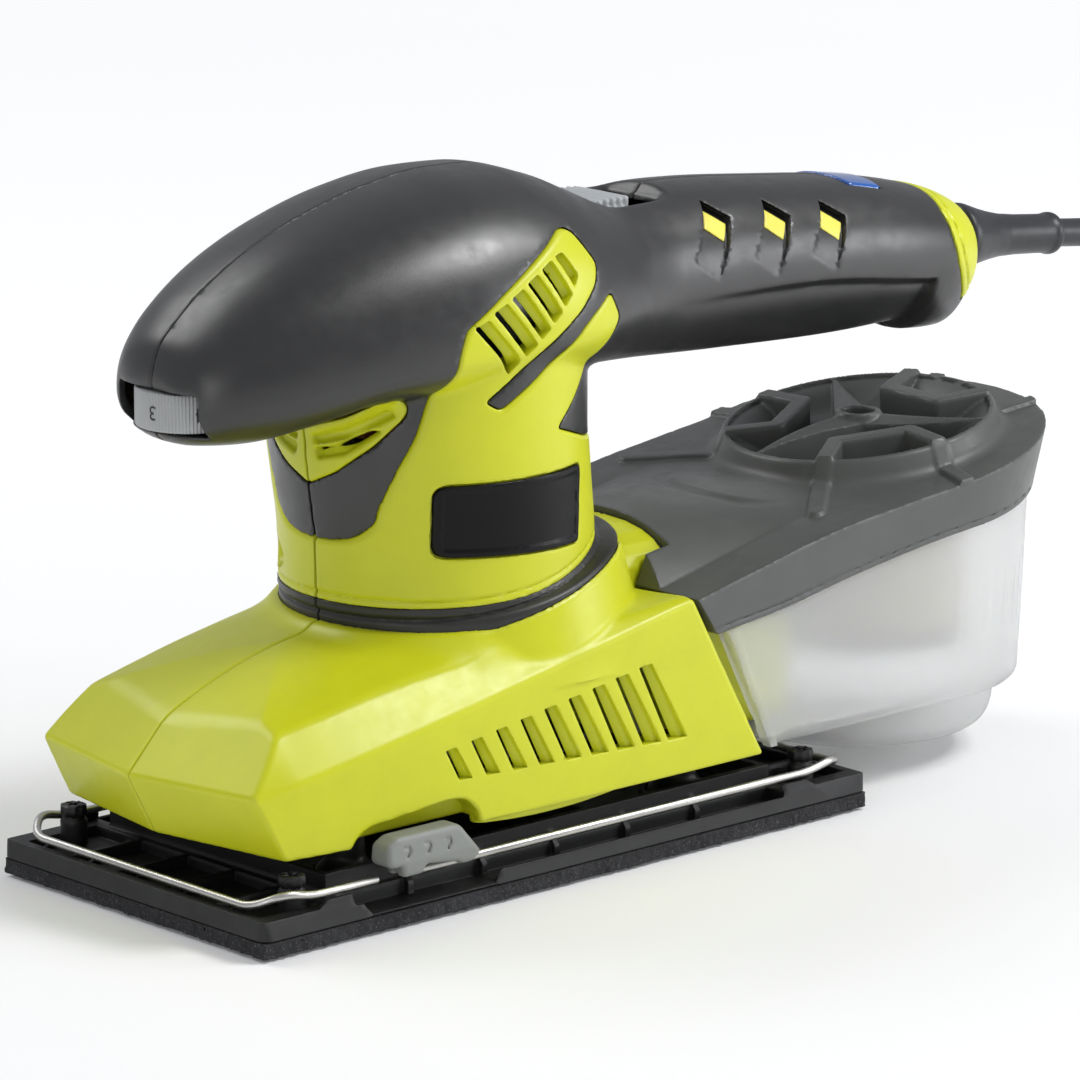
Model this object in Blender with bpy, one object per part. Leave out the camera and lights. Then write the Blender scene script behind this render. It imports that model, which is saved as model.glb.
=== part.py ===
"""Handle-type orbital finishing sander with a rectangular pad and a dust box.

Every sub-part is its own closed solid. Sizes below are millimetres; new_solid() turns them into metres.
The origin is the centre of the pad's underside, on the motor's axis: the nose points to -X, the dust box
to +X, and the plane y = 0 divides the clamshell halves.
"""

import math

import bmesh
import bpy
from mathutils import Vector

MM = 0.001

# ---- driving dimensions ----------------------------------------------------------------------------
GAP = 0.3                # clearance between neighbouring pieces
WALL = 2.6               # moulded wall of the upper housing

PAD_LENGTH = 185.0
PAD_WIDTH = 93.0
FOAM_TOP = 4.0
BASE_TOP = 8.6           # top of the rim that runs round the platen

SKIRT_BOTTOM = 18.4      # lower edge of the lime housing
RING_BOTTOM = 55.3
RING_TOP = 65.1
RING_RADIUS = 38.7

# Grip moulding, front to back: curves of (x, value).
GRIP_TOP = [(-84.5, 124.5), (-82.0, 128.8), (-77.0, 133.6), (-71.1, 138.4), (-55.7, 147.0),
            (-39.1, 152.9), (-22.3, 156.9), (-5.3, 158.9), (7.6, 158.5), (20.7, 155.2),
            (32.0, 150.6), (44.0, 147.4), (64.3, 147.3), (75.3, 146.8), (101.2, 144.3),
            (126.5, 141.3), (149.0, 136.6), (158.0, 133.0), (164.0, 127.0)]
GRIP_BOTTOM = [(-84.5, 108.4), (-77.7, 106.0), (-68.0, 105.2), (-56.0, 106.8), (-40.0, 110.0),
               (10.0, 110.0), (42.0, 108.2), (80.0, 105.8), (124.0, 104.2), (139.5, 104.4),
               (144.5, 101.6), (154.0, 101.0), (159.0, 105.5), (164.0, 112.5)]
GRIP_HALF = [(-84.5, 11.0), (-82.0, 15.5), (-77.0, 20.5), (-70.0, 24.6), (-60.0, 28.8),
             (-45.0, 33.2), (-30.0, 36.2), (-15.0, 38.0), (0.0, 38.3), (14.0, 36.6),
             (28.0, 32.0), (42.0, 26.6), (56.0, 23.6), (80.0, 22.6), (124.0, 22.0),
             (146.0, 20.0), (158.0, 16.0), (164.0, 10.5)]
GRIP_WIDEST = [(-84.5, 116.0), (-60.0, 119.0), (-20.0, 123.0), (20.0, 125.0), (60.0, 125.6),
               (120.0, 123.0), (164.0, 119.5)]

# Neck column: (z, centre x, radius).
NECK = [(65.4, 0.0, 38.1), (76.0, -1.0, 37.0), (88.0, -3.0, 37.1), (101.0, -4.4, 36.9),
        (118.0, -4.4, 36.6)]


# Lower housing: half outlines from the nose (y = 0) round the left side to the rear (y = 0).
SKIRT_EDGE = [(-85.5, 0, 18.4), (-82.5, -19, 18.4), (-79.4, -38, 18.4), (-70, -39.3, 18.4),
              (-50, -41.3, 18.4), (-30, -42.8, 18.4), (-5, -43.2, 18.4), (20, -43.4, 18.4),
              (45, -43.5, 18.4), (61.3, -43.4, 18.4), (61.3, -22, 18.4), (61.3, 0, 18.4)]
SIDE_CREASE = [(-93, 0, 32.9), (-90.2, -18.7, 33.3), (-87.5, -37.3, 33.7), (-76, -40, 36),
               (-55, -42, 40.3), (-30, -43.2, 45.3), (-8, -43.6, 49.8), (10, -43.8, 53.4),
               (26, -43.6, 56.7), (38.5, -43.4, 59.2), (38.5, -22, 59.2), (38.5, 0, 59.2)]
SHOULDER = [(-80.3, 0, 46.8), (-78.2, -16, 46.2), (-76, -32.1, 45.6), (-67, -33, 47.3),
            (-50, -34, 50.6), (-30, -35.5, 53.4), (-10, -37, 55.2), (8, -39, 56.6),
            (24, -40.5, 58.2), (37.5, -41.5, 59.6), (37.5, -22, 61.8), (37.5, 0, 62.0)]
DECK_LEVEL = 57.2        # flat deck round the ring
DECK_RADIUS = 36.8
HOUSING_WALL = 2.4
SEAT_RADIUS = 39.0       # hole in the deck that the ring sits in
SEAT_LEVEL = 55.0

# Motor and drive
SHAFT_RADIUS = 4.0
BORE = SHAFT_RADIUS + GAP
ORBIT = 1.2              # eccentric offset of the platen, the radius of its orbit

# Paper clamps
CLAMP_PIVOT_X = 60.0
WIRE_LEVEL = 11.5
WIRE_RADIUS = 0.95
WIRE_SIDE = 43.6         # distance of the long leg from the middle plane

# Dust box and lid
BOWL_X = 133.0           # centre of the round rear end
BIN_RADIUS = 42.4
TUBE_X = 134.5           # axis of the lid's tube and of the filter under it
LID_RIM = [(39.0, 58.4), (53.3, 61.7), (68.7, 65.3), (84.2, 68.5), (105.3, 71.3), (126.7, 73.8),
           (140.8, 76.3), (180.0, 83.6)]
LID_SKIRT = [(46.4, 49.3), (67.8, 52.1), (89.7, 56.1), (116.2, 60.0), (137.9, 62.3), (180.0, 68.4)]
DRUM_LEVEL = 81.0        # top of the lid's drum at the tube's axis
DRUM_TILT = 0.15         # its rise towards the rear, per millimetre
DRUM_FRAME = -4.0        # azimuth of the rear frame, in degrees

DIAL_X = -73.4
DIAL_RADIUS = 12.5

COLOURS = {
    "lime": ((0.62, 0.66, 0.04, 1.0), 0.42, 0.0),
    "grip_grey": ((0.055, 0.057, 0.06, 1.0), 0.55, 0.0),
    "ring_rubber": ((0.05, 0.05, 0.052, 1.0), 0.6, 0.0),
    "lid_grey": ((0.066, 0.070, 0.072, 1.0), 0.5, 0.0),
    "black_moulding": ((0.012, 0.012, 0.013, 1.0), 0.6, 0.0),
    "foam": ((0.03, 0.03, 0.032, 1.0), 0.95, 0.0),
    "lever_grey": ((0.42, 0.43, 0.40, 1.0), 0.5, 0.0),
    "steel": ((0.55, 0.55, 0.56, 1.0), 0.32, 1.0),
    "bin_clear": ((0.80, 0.84, 0.86, 0.55), 0.35, 0.0),
    "yellow_insert": ((0.72, 0.70, 0.12, 1.0), 0.4, 0.0),
    "blue_lens": ((0.02, 0.35, 0.80, 1.0), 0.15, 0.0),
    "white_plastic": ((0.70, 0.71, 0.70, 1.0), 0.45, 0.0),
    "copper": ((0.72, 0.32, 0.16, 1.0), 0.35, 1.0),
    "filter_paper": ((0.75, 0.70, 0.58, 1.0), 0.9, 0.0),
    "carbon": ((0.03, 0.03, 0.03, 1.0), 0.7, 0.0),
}


# ---- small tools ------------------------------------------------------------------------------------
def along(curve, x):
    """Value at x of a smooth curve through (x, value) points that never overshoots them."""
    if x <= curve[0][0]:
        return curve[0][1]
    if x >= curve[-1][0]:
        return curve[-1][1]
    slopes = [(b[1] - a[1]) / (b[0] - a[0]) for a, b in zip(curve, curve[1:])]
    tangents = [slopes[0]]
    for before, after in zip(slopes, slopes[1:]):
        same_way = before * after > 0
        tangents.append(2 * before * after / (before + after) if same_way else 0.0)
    tangents.append(slopes[-1])
    i = max(k for k in range(len(slopes)) if curve[k][0] <= x)
    width = curve[i + 1][0] - curve[i][0]
    t = (x - curve[i][0]) / width
    return (
        curve[i][1] * (2 * t**3 - 3 * t**2 + 1)
        + tangents[i] * width * (t**3 - 2 * t**2 + t)
        + curve[i + 1][1] * (3 * t**2 - 2 * t**3)
        + tangents[i + 1] * width * (t**3 - t**2)
    )


def new_solid(points, faces):
    """An object from corner points in millimetres, with its faces turned outwards."""
    mesh = bpy.data.meshes.new("solid")
    shape = bmesh.new()
    corners = [shape.verts.new(Vector(p) * MM) for p in points]
    for face in faces:
        shape.faces.new([corners[i] for i in face])
    bmesh.ops.recalc_face_normals(shape, faces=shape.faces)
    bmesh.ops.triangulate(shape, faces=shape.faces)
    shape.to_mesh(mesh)
    shape.free()
    solid = bpy.data.objects.new("solid", mesh)
    bpy.context.scene.collection.objects.link(solid)
    return solid


def loft(rings):
    """Skin over rings that hold the same number of points, capped at both ends."""
    count = len(rings[0])
    points = [p for ring in rings for p in ring]
    faces = [list(range(count)), list(range(len(points) - count, len(points)))]
    for r in range(len(rings) - 1):
        for i in range(count):
            j = (i + 1) % count
            faces.append([r * count + i, r * count + j, (r + 1) * count + j, (r + 1) * count + i])
    return new_solid(points, faces)


def copy_of(solid):
    twin = solid.copy()
    twin.data = solid.data.copy()
    bpy.context.scene.collection.objects.link(twin)
    return twin


def combine(solid, tool, operation):
    """Boolean the tool into the solid, then drop the tool."""
    step = solid.modifiers.new("step", "BOOLEAN")
    step.object = tool
    step.operation = operation
    bpy.context.view_layer.update()
    result = solid.evaluated_get(bpy.context.evaluated_depsgraph_get())
    mesh = bpy.data.meshes.new_from_object(result)
    solid.modifiers.clear()
    solid.data = mesh
    bpy.data.objects.remove(tool)
    return solid


def cut(solid, tool):
    return combine(solid, tool, "DIFFERENCE")


def join(solid, tool):
    return combine(solid, tool, "UNION")


def keep(solid, tool):
    return combine(solid, tool, "INTERSECT")


# ---- outer volumes ----------------------------------------------------------------------------------
def grip_section(x, inset, sides):
    """One upright section of the dome and handle, drawn in by the inset."""
    top = along(GRIP_TOP, x) - inset
    bottom = along(GRIP_BOTTOM, x) + inset
    half = along(GRIP_HALF, x) - inset
    widest = along(GRIP_WIDEST, x)
    ring = []
    for k in range(sides):
        turn = 2 * math.pi * (k + 0.5) / sides
        c, s = math.cos(turn), math.sin(turn)
        y = half * math.copysign(abs(c) ** 0.88, c)
        reach = top - widest if s > 0 else widest - bottom
        ring.append((x, y, widest + reach * math.copysign(abs(s) ** (0.88 if s > 0 else 1.0), s)))
    return ring


GRIP_STATIONS = [-84.5, -81.0, -73.0, -60.0, -42.0, -22.0, 0.0, 20.0, 40.0, 58.0, 98.0, 139.5, 145.5,
                 155.0, 160.0, 164.0]


def grip_volume(inset):
    """The dome and handle as one solid. The hollow inside it (a large inset) is made coarser."""
    inside = inset > 2.0
    stations = GRIP_STATIONS[1::2] if inside else GRIP_STATIONS
    first, last = GRIP_STATIONS[0] + inset, GRIP_STATIONS[-1] - inset
    stations = sorted({min(max(x, first), last) for x in [first, *stations, last]})
    return loft([grip_section(x, inset, 14 if inside else 20) for x in stations])


def neck_volume(inset, bottom=None):
    sides = 20 if inset > 2.0 else 32
    rings = []
    for z, centre, radius in NECK:
        if bottom is not None and z == NECK[0][0]:
            z = bottom
        rings.append([(centre + (radius - inset) * math.cos(2 * math.pi * k / sides),
                       (radius - inset) * math.sin(2 * math.pi * k / sides), z)
                      for k in range(sides)])
    return loft(rings)


def half_space(side):
    """A block that covers one side of the middle plane, less half the parting gap."""
    inner, outer = side * GAP / 2, side * 120.0
    return block((-150, min(inner, outer), -20), (260, max(inner, outer), 220))


def block(low, high):
    (x0, y0, z0), (x1, y1, z1) = low, high
    points = [(x0, y0, z0), (x1, y0, z0), (x1, y1, z0), (x0, y1, z0),
              (x0, y0, z1), (x1, y0, z1), (x1, y1, z1), (x0, y1, z1)]
    faces = [(0, 1, 2, 3), (4, 5, 6, 7), (0, 1, 5, 4), (1, 2, 6, 5), (2, 3, 7, 6), (3, 0, 4, 7)]
    return new_solid(points, faces)


def side_prism(outline, y0, y1):
    """An (x, z) outline pushed through from y0 to y1."""
    return loft([[(x, y0, z) for x, z in outline], [(x, y1, z) for x, z in outline]])


def plan_prism(outline, z0, z1):
    return loft([[(x, y, z0) for x, y in outline], [(x, y, z1) for x, y in outline]])


def circle(radius, sides, centre=(0.0, 0.0)):
    return [(centre[0] + radius * math.cos(2 * math.pi * k / sides),
             centre[1] + radius * math.sin(2 * math.pi * k / sides)) for k in range(sides)]


def disc(radius, z0, z1, sides=20, centre=(0.0, 0.0)):
    return plan_prism(circle(radius, sides, centre), z0, z1)


def turned(profile, sides=20, centre=(0.0, 0.0), bore=None):
    """Outer wall (radius, z) from bottom to top, turned about an upright axis, with an optional bore."""
    solid = loft([[(x, y, z) for x, y in circle(radius, sides, centre)] for radius, z in profile])
    if bore:
        solid = cut(solid, disc(bore, profile[0][1] - 1, profile[-1][1] + 1, sides, centre))
    return solid


def rod(path, radius, sides=6):
    """A round bar along a path of points, with flat ends."""
    points = [Vector(p) for p in path]
    first = (points[1] - points[0]).normalized()
    side = first.cross(Vector((0, 0, 1)))
    if side.length < 0.1:
        side = first.cross(Vector((0, 1, 0)))
    side.normalize()
    rings = []
    for i, point in enumerate(points):
        ahead = points[min(i + 1, len(points) - 1)] - point
        behind = point - points[max(i - 1, 0)]
        way = (ahead.normalized() + behind.normalized()).normalized()
        side = (side - way * side.dot(way)).normalized()
        up = way.cross(side)
        turn = max(0.35, way.dot((ahead if ahead.length else behind).normalized()))
        size = radius / turn if 0 < i < len(points) - 1 else radius
        rings.append([point + (side * math.cos(a) + up * math.sin(a)) * size
                      for a in (2 * math.pi * k / sides for k in range(sides))])
    return loft([[tuple(p) for p in ring] for ring in rings])


def rounded(path, radius, steps=3):
    """The path with each inner corner replaced by an arc-like bend."""
    points = [Vector(p) for p in path]
    result = [points[0]]
    for before, corner, after in zip(points, points[1:], points[2:]):
        start = corner + (before - corner).normalized() * min(radius, (before - corner).length * 0.45)
        end = corner + (after - corner).normalized() * min(radius, (after - corner).length * 0.45)
        for k in range(steps + 1):
            t = k / steps
            result.append(start * (1 - t) ** 2 + corner * 2 * t * (1 - t) + end * t**2)
    result.append(points[-1])
    return result


def across(x, z, y0, y1, radius, sides=10):
    """A round bar along Y."""
    outline = [(x + a, z + b) for a, b in circle(radius, sides)]
    return side_prism(outline, y0, y1)


def mirrored(solid):
    """The same piece on the other side of the middle plane."""
    mesh = solid.data.copy()
    for vertex in mesh.vertices:
        vertex.co.y = -vertex.co.y
    mesh.flip_normals()
    twin = bpy.data.objects.new("solid", mesh)
    bpy.context.scene.collection.objects.link(twin)
    return twin


def half_turned(solid):
    """The same piece turned by 180 degrees about the motor's axis."""
    mesh = solid.data.copy()
    for vertex in mesh.vertices:
        vertex.co.x, vertex.co.y = -vertex.co.x, -vertex.co.y
    twin = bpy.data.objects.new("solid", mesh)
    bpy.context.scene.collection.objects.link(twin)
    return twin


def material(name):
    found = bpy.data.materials.get(name)
    if found:
        return found
    colour, roughness, metallic = COLOURS[name]
    made = bpy.data.materials.new(name)
    made.use_nodes = True
    surface = made.node_tree.nodes["Principled BSDF"]
    surface.inputs["Base Color"].default_value = colour
    surface.inputs["Roughness"].default_value = roughness
    surface.inputs["Metallic"].default_value = metallic
    surface.inputs["Alpha"].default_value = colour[3]
    made.diffuse_color = colour
    return made


def simplify(solid):
    """Merge the flat fragments that Booleans leave, and triangulate again."""
    shape = bmesh.new()
    shape.from_mesh(solid.data)
    bmesh.ops.remove_doubles(shape, verts=shape.verts, dist=0.003 * MM)
    bmesh.ops.dissolve_degenerate(shape, dist=0.003 * MM, edges=shape.edges)
    bmesh.ops.dissolve_limit(shape, angle_limit=math.radians(1.5), verts=shape.verts, edges=shape.edges)
    bmesh.ops.triangulate(shape, faces=shape.faces)
    shape.to_mesh(solid.data)
    shape.free()


def name_piece(solid, name, finish, pivot=(0.0, 0.0, 0.0)):
    """Give a finished solid its name and material, and put its origin on its pivot."""
    simplify(solid)
    solid.name = name
    solid.data.name = name
    solid.data.materials.clear()
    solid.data.materials.append(material(finish))
    shift = Vector(pivot) * MM
    for vertex in solid.data.vertices:
        vertex.co -= shift
    solid.location = shift
    solid.data.shade_smooth()
    solid.data.set_sharp_from_angle(angle=math.radians(35))
    return solid


# ---- upper housing ----------------------------------------------------------------------------------
# Lime zone on the left side as an (x, z) outline: the neck below the dark front band, then the two
# prongs that climb the dome with a dark strip between them.
LIME_ZONE = [(-48, 58), (-48, 76.6), (-37.8, 77.2), (-36.2, 79.3), (-34.2, 83.3), (-33.8, 90.3),
             (-32.4, 97.6), (-30.0, 104.3), (-28.0, 113.0), (-26.4, 123.7), (-24.4, 129.1),
             (-12.4, 136.2), (-2.2, 141.6), (8.8, 147.2), (12.4, 146.4), (17.2, 138.6),
             (15.2, 134.4), (9.7, 129.6), (-3.2, 121.9), (-17.2, 111.6), (-13.5, 109.4),
             (-5.2, 114.6), (5.4, 121.5), (12.7, 126.9), (20.9, 131.6), (24.6, 125.6),
             (18.0, 115.8), (10.2, 108.6), (3.2, 103.1), (17.0, 98.4), (48, 92), (48, 58)]

# Chin guard under the dome: (degrees round the neck from the front, z).
CHIN_ZONE = [(0, 91.1), (14, 94.9), (29.5, 101.7), (41, 108.6), (42.5, 111.4), (38, 114.0),
             (20, 108.2), (0, 104.2)]

END_COLLAR_ZONE = [(148.6, 142.0), (145.6, 131.5), (146.6, 125.4), (148.6, 119.6), (151.4, 114.0),
                   (154.5, 109.5), (175.0, 109.5), (175.0, 142.0)]


def grown(outline, amount):
    """The outline moved outwards by an amount, for the piece next to it."""
    points = [Vector((x, z)) for x, z in outline]
    area = sum(a.x * b.y - b.x * a.y for a, b in zip(points, points[1:] + points[:1]))
    out = []
    for i, point in enumerate(points):
        into = (point - points[i - 1]).normalized()
        away = (points[(i + 1) % len(points)] - point).normalized()
        normal = Vector((into.y + away.y, -into.x - away.x))
        if area < 0:
            normal = -normal
        normal.normalize()
        spread = max(0.45, normal.dot(Vector((into.y, -into.x)) * (1 if area > 0 else -1)))
        moved = point + normal * amount / spread
        out.append((moved.x, moved.y))
    return out


def chin_prism(amount):
    """The chin zone pushed out from the neck's axis, both sides of the seam in one solid."""
    half = grown(CHIN_ZONE, amount)
    right = [(degrees, z) for degrees, z in half if degrees > 0.5]
    bottom_z = min(z for _, z in half[:2])
    top_z = half[-1][1]
    corners = [(0.0, bottom_z)] + right + [(0.0, top_z)]
    loop = [corners[0]]
    for (a0, z0), (a1, z1) in zip(corners, corners[1:]):
        steps = max(1, round(abs(a1 - a0) / 5.0))
        loop += [(a0 + (a1 - a0) * k / steps, z0 + (z1 - z0) * k / steps) for k in range(1, steps + 1)]
    loop += [(-degrees, z) for degrees, z in reversed(loop[1:-1])]
    centre = NECK[3][1]
    rings = []
    for radius in (30.0, 50.0):
        rings.append([(centre - radius * math.cos(math.radians(a)),
                       -radius * math.sin(math.radians(a)), z) for a, z in loop])
    return loft(rings)


def upper_shell():
    """Left half of the upper housing as one hollow wall, before the colours are divided."""
    shell = join(grip_volume(0.0), neck_volume(0.0))
    hollow = join(grip_volume(WALL), neck_volume(WALL, bottom=60.0))
    shell = keep(shell, half_space(-1))
    for x, z in UPPER_SCREWS.values():
        boss = keep(across(x, z, -60, -GAP / 2, 3.7), join(grip_volume(1.2), neck_volume(1.2)))
        hollow = cut(hollow, boss)
    shell = cut(shell, hollow)
    for x, z in UPPER_SCREWS.values():
        shell = cut(shell, across(x, z, -12, 5, 1.8, 8))
    return shell


UPPER_SCREWS = {
    "handle_screw": (132.0, 112.5),
    "dome_screw": (-56.0, 135.0),
    "neck_screw_front": (-31.2, 70.5),
    "neck_screw_rear": (31.0, 70.5),
}
SCREW_SEAT = {"handle_screw": 9.0, "dome_screw": 12.0, "neck_screw_front": 9.0, "neck_screw_rear": 9.0}
VENT_COUNT = 6


def neck_vent(index):
    """One slanted slot of the row in the upper prong."""
    t = index / (VENT_COUNT - 1)
    x = -22.0 + t * 24.6
    z = 129.6 + t * 11.9
    reach = [14.2, 14.6, 13.4, 11.6, 9.6, 6.6][index]
    down = Vector((0.66, -0.75)).normalized() * reach
    wide = Vector((0.87, 0.5)) * 2.5
    start = Vector((x, z))
    corners = [start, start + wide, start + wide + down, start + down]
    return side_prism([tuple(c) for c in corners], -60, -20)


def upper_housing():
    left = upper_shell()
    for index in range(VENT_COUNT):
        left = cut(left, neck_vent(index))
    left = cut(left, block((34.5, -12.6, 141.0), (60.0, 12.6, 170.0)))
    left = cut(left, block((LENS_X[0] - GAP, -LENS_HALF - GAP, 132.7), (LENS_X[1] + GAP, 10.0, 150.0)))
    left = cut(left, disc(DIAL_RADIUS + 0.5, 109.6, 118.9, 28, (DIAL_X, 0.0)))
    for x, z in INSERTS:
        wide, high = INSERT_HALF_X + GAP, INSERT_HALF_Z + GAP
        left = cut(left, block((x - wide, -40.0, z - high), (x + wide, -10.0, z + high)))
    left = cut(left, badge_body(GAP, -2.0, 1.1))

    lime = keep(copy_of(left), side_prism(LIME_ZONE, -70, 0))
    chin = keep(copy_of(left), chin_prism(0.0))
    dark = cut(left, side_prism(grown(LIME_ZONE, GAP), -70, 5))
    dark = cut(dark, chin_prism(2.2 * GAP))
    dark = cut(dark, side_prism(grown(END_COLLAR_ZONE, GAP), -70, 5))
    right_dark, right_lime, right_chin = mirrored(dark), mirrored(lime), mirrored(chin)
    for name, (x, z) in UPPER_SCREWS.items():
        side = right_lime if name.startswith("neck") else right_dark
        cut(side, across(x, z, SCREW_SEAT[name], 60, 3.5, 10))
        cut(side, across(x, z, -5, 20, 2.1, 8))
        seat = SCREW_SEAT[name] + GAP
        screw = join(across(x, z, seat, seat + 2.2, 3.0, 10), across(x, z, -9.0, seat + 1.0, 1.4, 8))
        screw = cut(screw, across(x, z, seat + 1.0, seat + 4.0, 1.3, 6))
        name_piece(screw, name, "steel")
    name_piece(dark, "left_grip_shell", "grip_grey")
    name_piece(right_dark, "right_grip_shell", "grip_grey")
    name_piece(lime, "left_neck_housing", "lime")
    name_piece(right_lime, "right_neck_housing", "lime")
    name_piece(chin, "left_chin_guard", "lime")
    name_piece(right_chin, "right_chin_guard", "lime")

    collar = cut(grip_volume(0.0), grip_volume(WALL))
    collar = keep(collar, side_prism(END_COLLAR_ZONE, -60, 60))
    start, end = Vector(CORD[1]), Vector(CORD[2])
    bore = rod([start - (end - start) * 0.3, start + (end - start) * 0.3], 5.7, 16)
    name_piece(cut(collar, bore), "handle_end_collar", "lime")


INSERTS = ((67.9, 138.2), (87.1, 136.2), (105.6, 133.8))
INSERT_HALF_X, INSERT_HALF_Z = 2.9, 1.8
LENS_X = (122.0, 130.6)
LENS_HALF = 11.8
BADGE_ZONE = [(-27.0, 91.4), (-25.4, 93.0), (12.4, 93.3), (11.0, 75.6), (-25.2, 76.4), (-26.4, 77.8)]


def badge_body(grow, out, into):
    """The side plate's volume: between two offsets of the neck, inside the plate's outline."""
    plate = keep(neck_volume(out), side_prism(grown(BADGE_ZONE, grow), -60, -5))
    return cut(plate, neck_volume(into, bottom=50.0))


def side_fittings():
    plate = badge_body(0.0, -0.5, 0.8)
    name_piece(mirrored(plate), "right_side_plate", "black_moulding")
    name_piece(plate, "left_side_plate", "black_moulding")
    (first, high), (last, low) = INSERTS[0], INSERTS[-1]
    bar = [(first - 5, high - 2), (last + 4, low - 2), (last + 4, low + 2), (first - 5, high + 2)]
    strip = side_prism(bar, -11.4, -10.2)
    for x, z in INSERTS:
        corners = ((x - INSERT_HALF_X, -window_depth(x, z), z - INSERT_HALF_Z),
                   (x + INSERT_HALF_X, -11.0, z + INSERT_HALF_Z))
        strip = join(strip, block(*corners))
    name_piece(mirrored(strip), "right_grip_insert", "yellow_insert")
    name_piece(strip, "left_grip_insert", "yellow_insert")
    lens = keep(block((LENS_X[0], -LENS_HALF, 133.0), (LENS_X[1], LENS_HALF, 150.0)), grip_volume(-0.3))
    name_piece(lens, "indicator_lens", "blue_lens")


def window_depth(x, z):
    """How far out an insert reaches: just under the handle's skin at its height."""
    top, widest = along(GRIP_TOP, x), along(GRIP_WIDEST, x)
    lift = ((z - widest) / (top - widest)) ** (1 / 0.88)
    return along(GRIP_HALF, x) * math.cos(math.asin(lift)) ** 0.88 - 0.5


# ---- neck ring --------------------------------------------------------------------------------------
def neck_ring():
    groove = 1.3
    outer = RING_RADIUS
    profile = [(outer - 0.6, RING_BOTTOM), (outer, RING_BOTTOM + 0.6), (outer, 57.4),
               (outer - groove, 57.9), (outer - groove, 59.0), (outer, 59.5), (outer, 60.9),
               (outer - groove, 61.4), (outer - groove, 62.5), (outer - 0.3, 63.0),
               (outer - 0.6, RING_TOP)]
    left = keep(turned(profile, 32, bore=35.2), half_space(-1))
    name_piece(mirrored(left), "right_neck_ring", "ring_rubber")
    name_piece(left, "left_neck_ring", "ring_rubber")


# ---- lower housing ----------------------------------------------------------------------------------
def full_ring(half, inset=0.0, drop=0.0):
    """A closed ring from a left half outline, drawn in by a wall."""
    points = [(x * (1 - inset / 80.0), y * (1 - inset / 44.0), z - drop) for x, y, z in half]
    return points + [(x, -y, z) for x, y, z in reversed(points[1:-1])]


def deck_ring(radius, level):
    """A round ring whose points answer those of the housing's outlines."""
    half = []
    for x, y, _ in SHOULDER:
        around = math.atan2(y, x - 2.0)
        half.append((radius * math.cos(around), radius * math.sin(around), level))
    return half + [(x, -y, z) for x, y, z in reversed(half[1:-1])]


def lower_volume():
    return loft([full_ring(SKIRT_EDGE), full_ring(SIDE_CREASE), full_ring(SHOULDER),
                 deck_ring(DECK_RADIUS, DECK_LEVEL)])


def lower_hollow():
    wall = HOUSING_WALL
    skirt = full_ring(SKIRT_EDGE, wall)
    below = [(x, y, 8.0) for x, y, _ in skirt]
    low_deck = [(x, y, 52.2) for x, y, _ in deck_ring(33.0, 0.0)]
    shoulder = [(x, y, min(z, 52.2)) for x, y, z in full_ring(SHOULDER, 3.4, 2.6)]
    return loft([below, skirt, full_ring(SIDE_CREASE, wall, 1.0), shoulder, low_deck])


HUMP = [(-21.5, 50.0), (-21.5, 62.6), (-19.6, 65.8), (-15.0, 68.4), (-8.0, 69.8), (0.0, 70.1)]
SPIGOT = {"x": 84.0, "half": 28.0, "bottom": 20.9, "top": 45.6}
LEG_X, LEG_Y = 51.0, 25.0
SIDE_VENTS = 9
NOSE_SCREW = (-72.0, 32.0)


def side_vent(index):
    """One slanted slot of the row low on the side."""
    t = index / (SIDE_VENTS - 1)
    top_x, top_z = -36.6 + t * 57.8, 36.7 + t * 9.2
    foot_x, foot_z = -32.6 + t * 63.4, 29.3 - t * 2.2
    corners = [(top_x, top_z), (top_x + 3.0 + t, top_z + 0.4), (foot_x + 3.8 + 2.0 * t, foot_z - 0.1),
               (foot_x, foot_z)]
    return side_prism(corners, -60, -30)


def finger_recess():
    """Arch in the left skirt over the clamp lever."""
    return [(-63.0, 10.0), (-61.0, 20.5), (-57.5, 22.8), (-36.0, 25.2), (-31.0, 25.0), (-26.0, 21.0),
            (-25.0, 10.0)]


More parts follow.
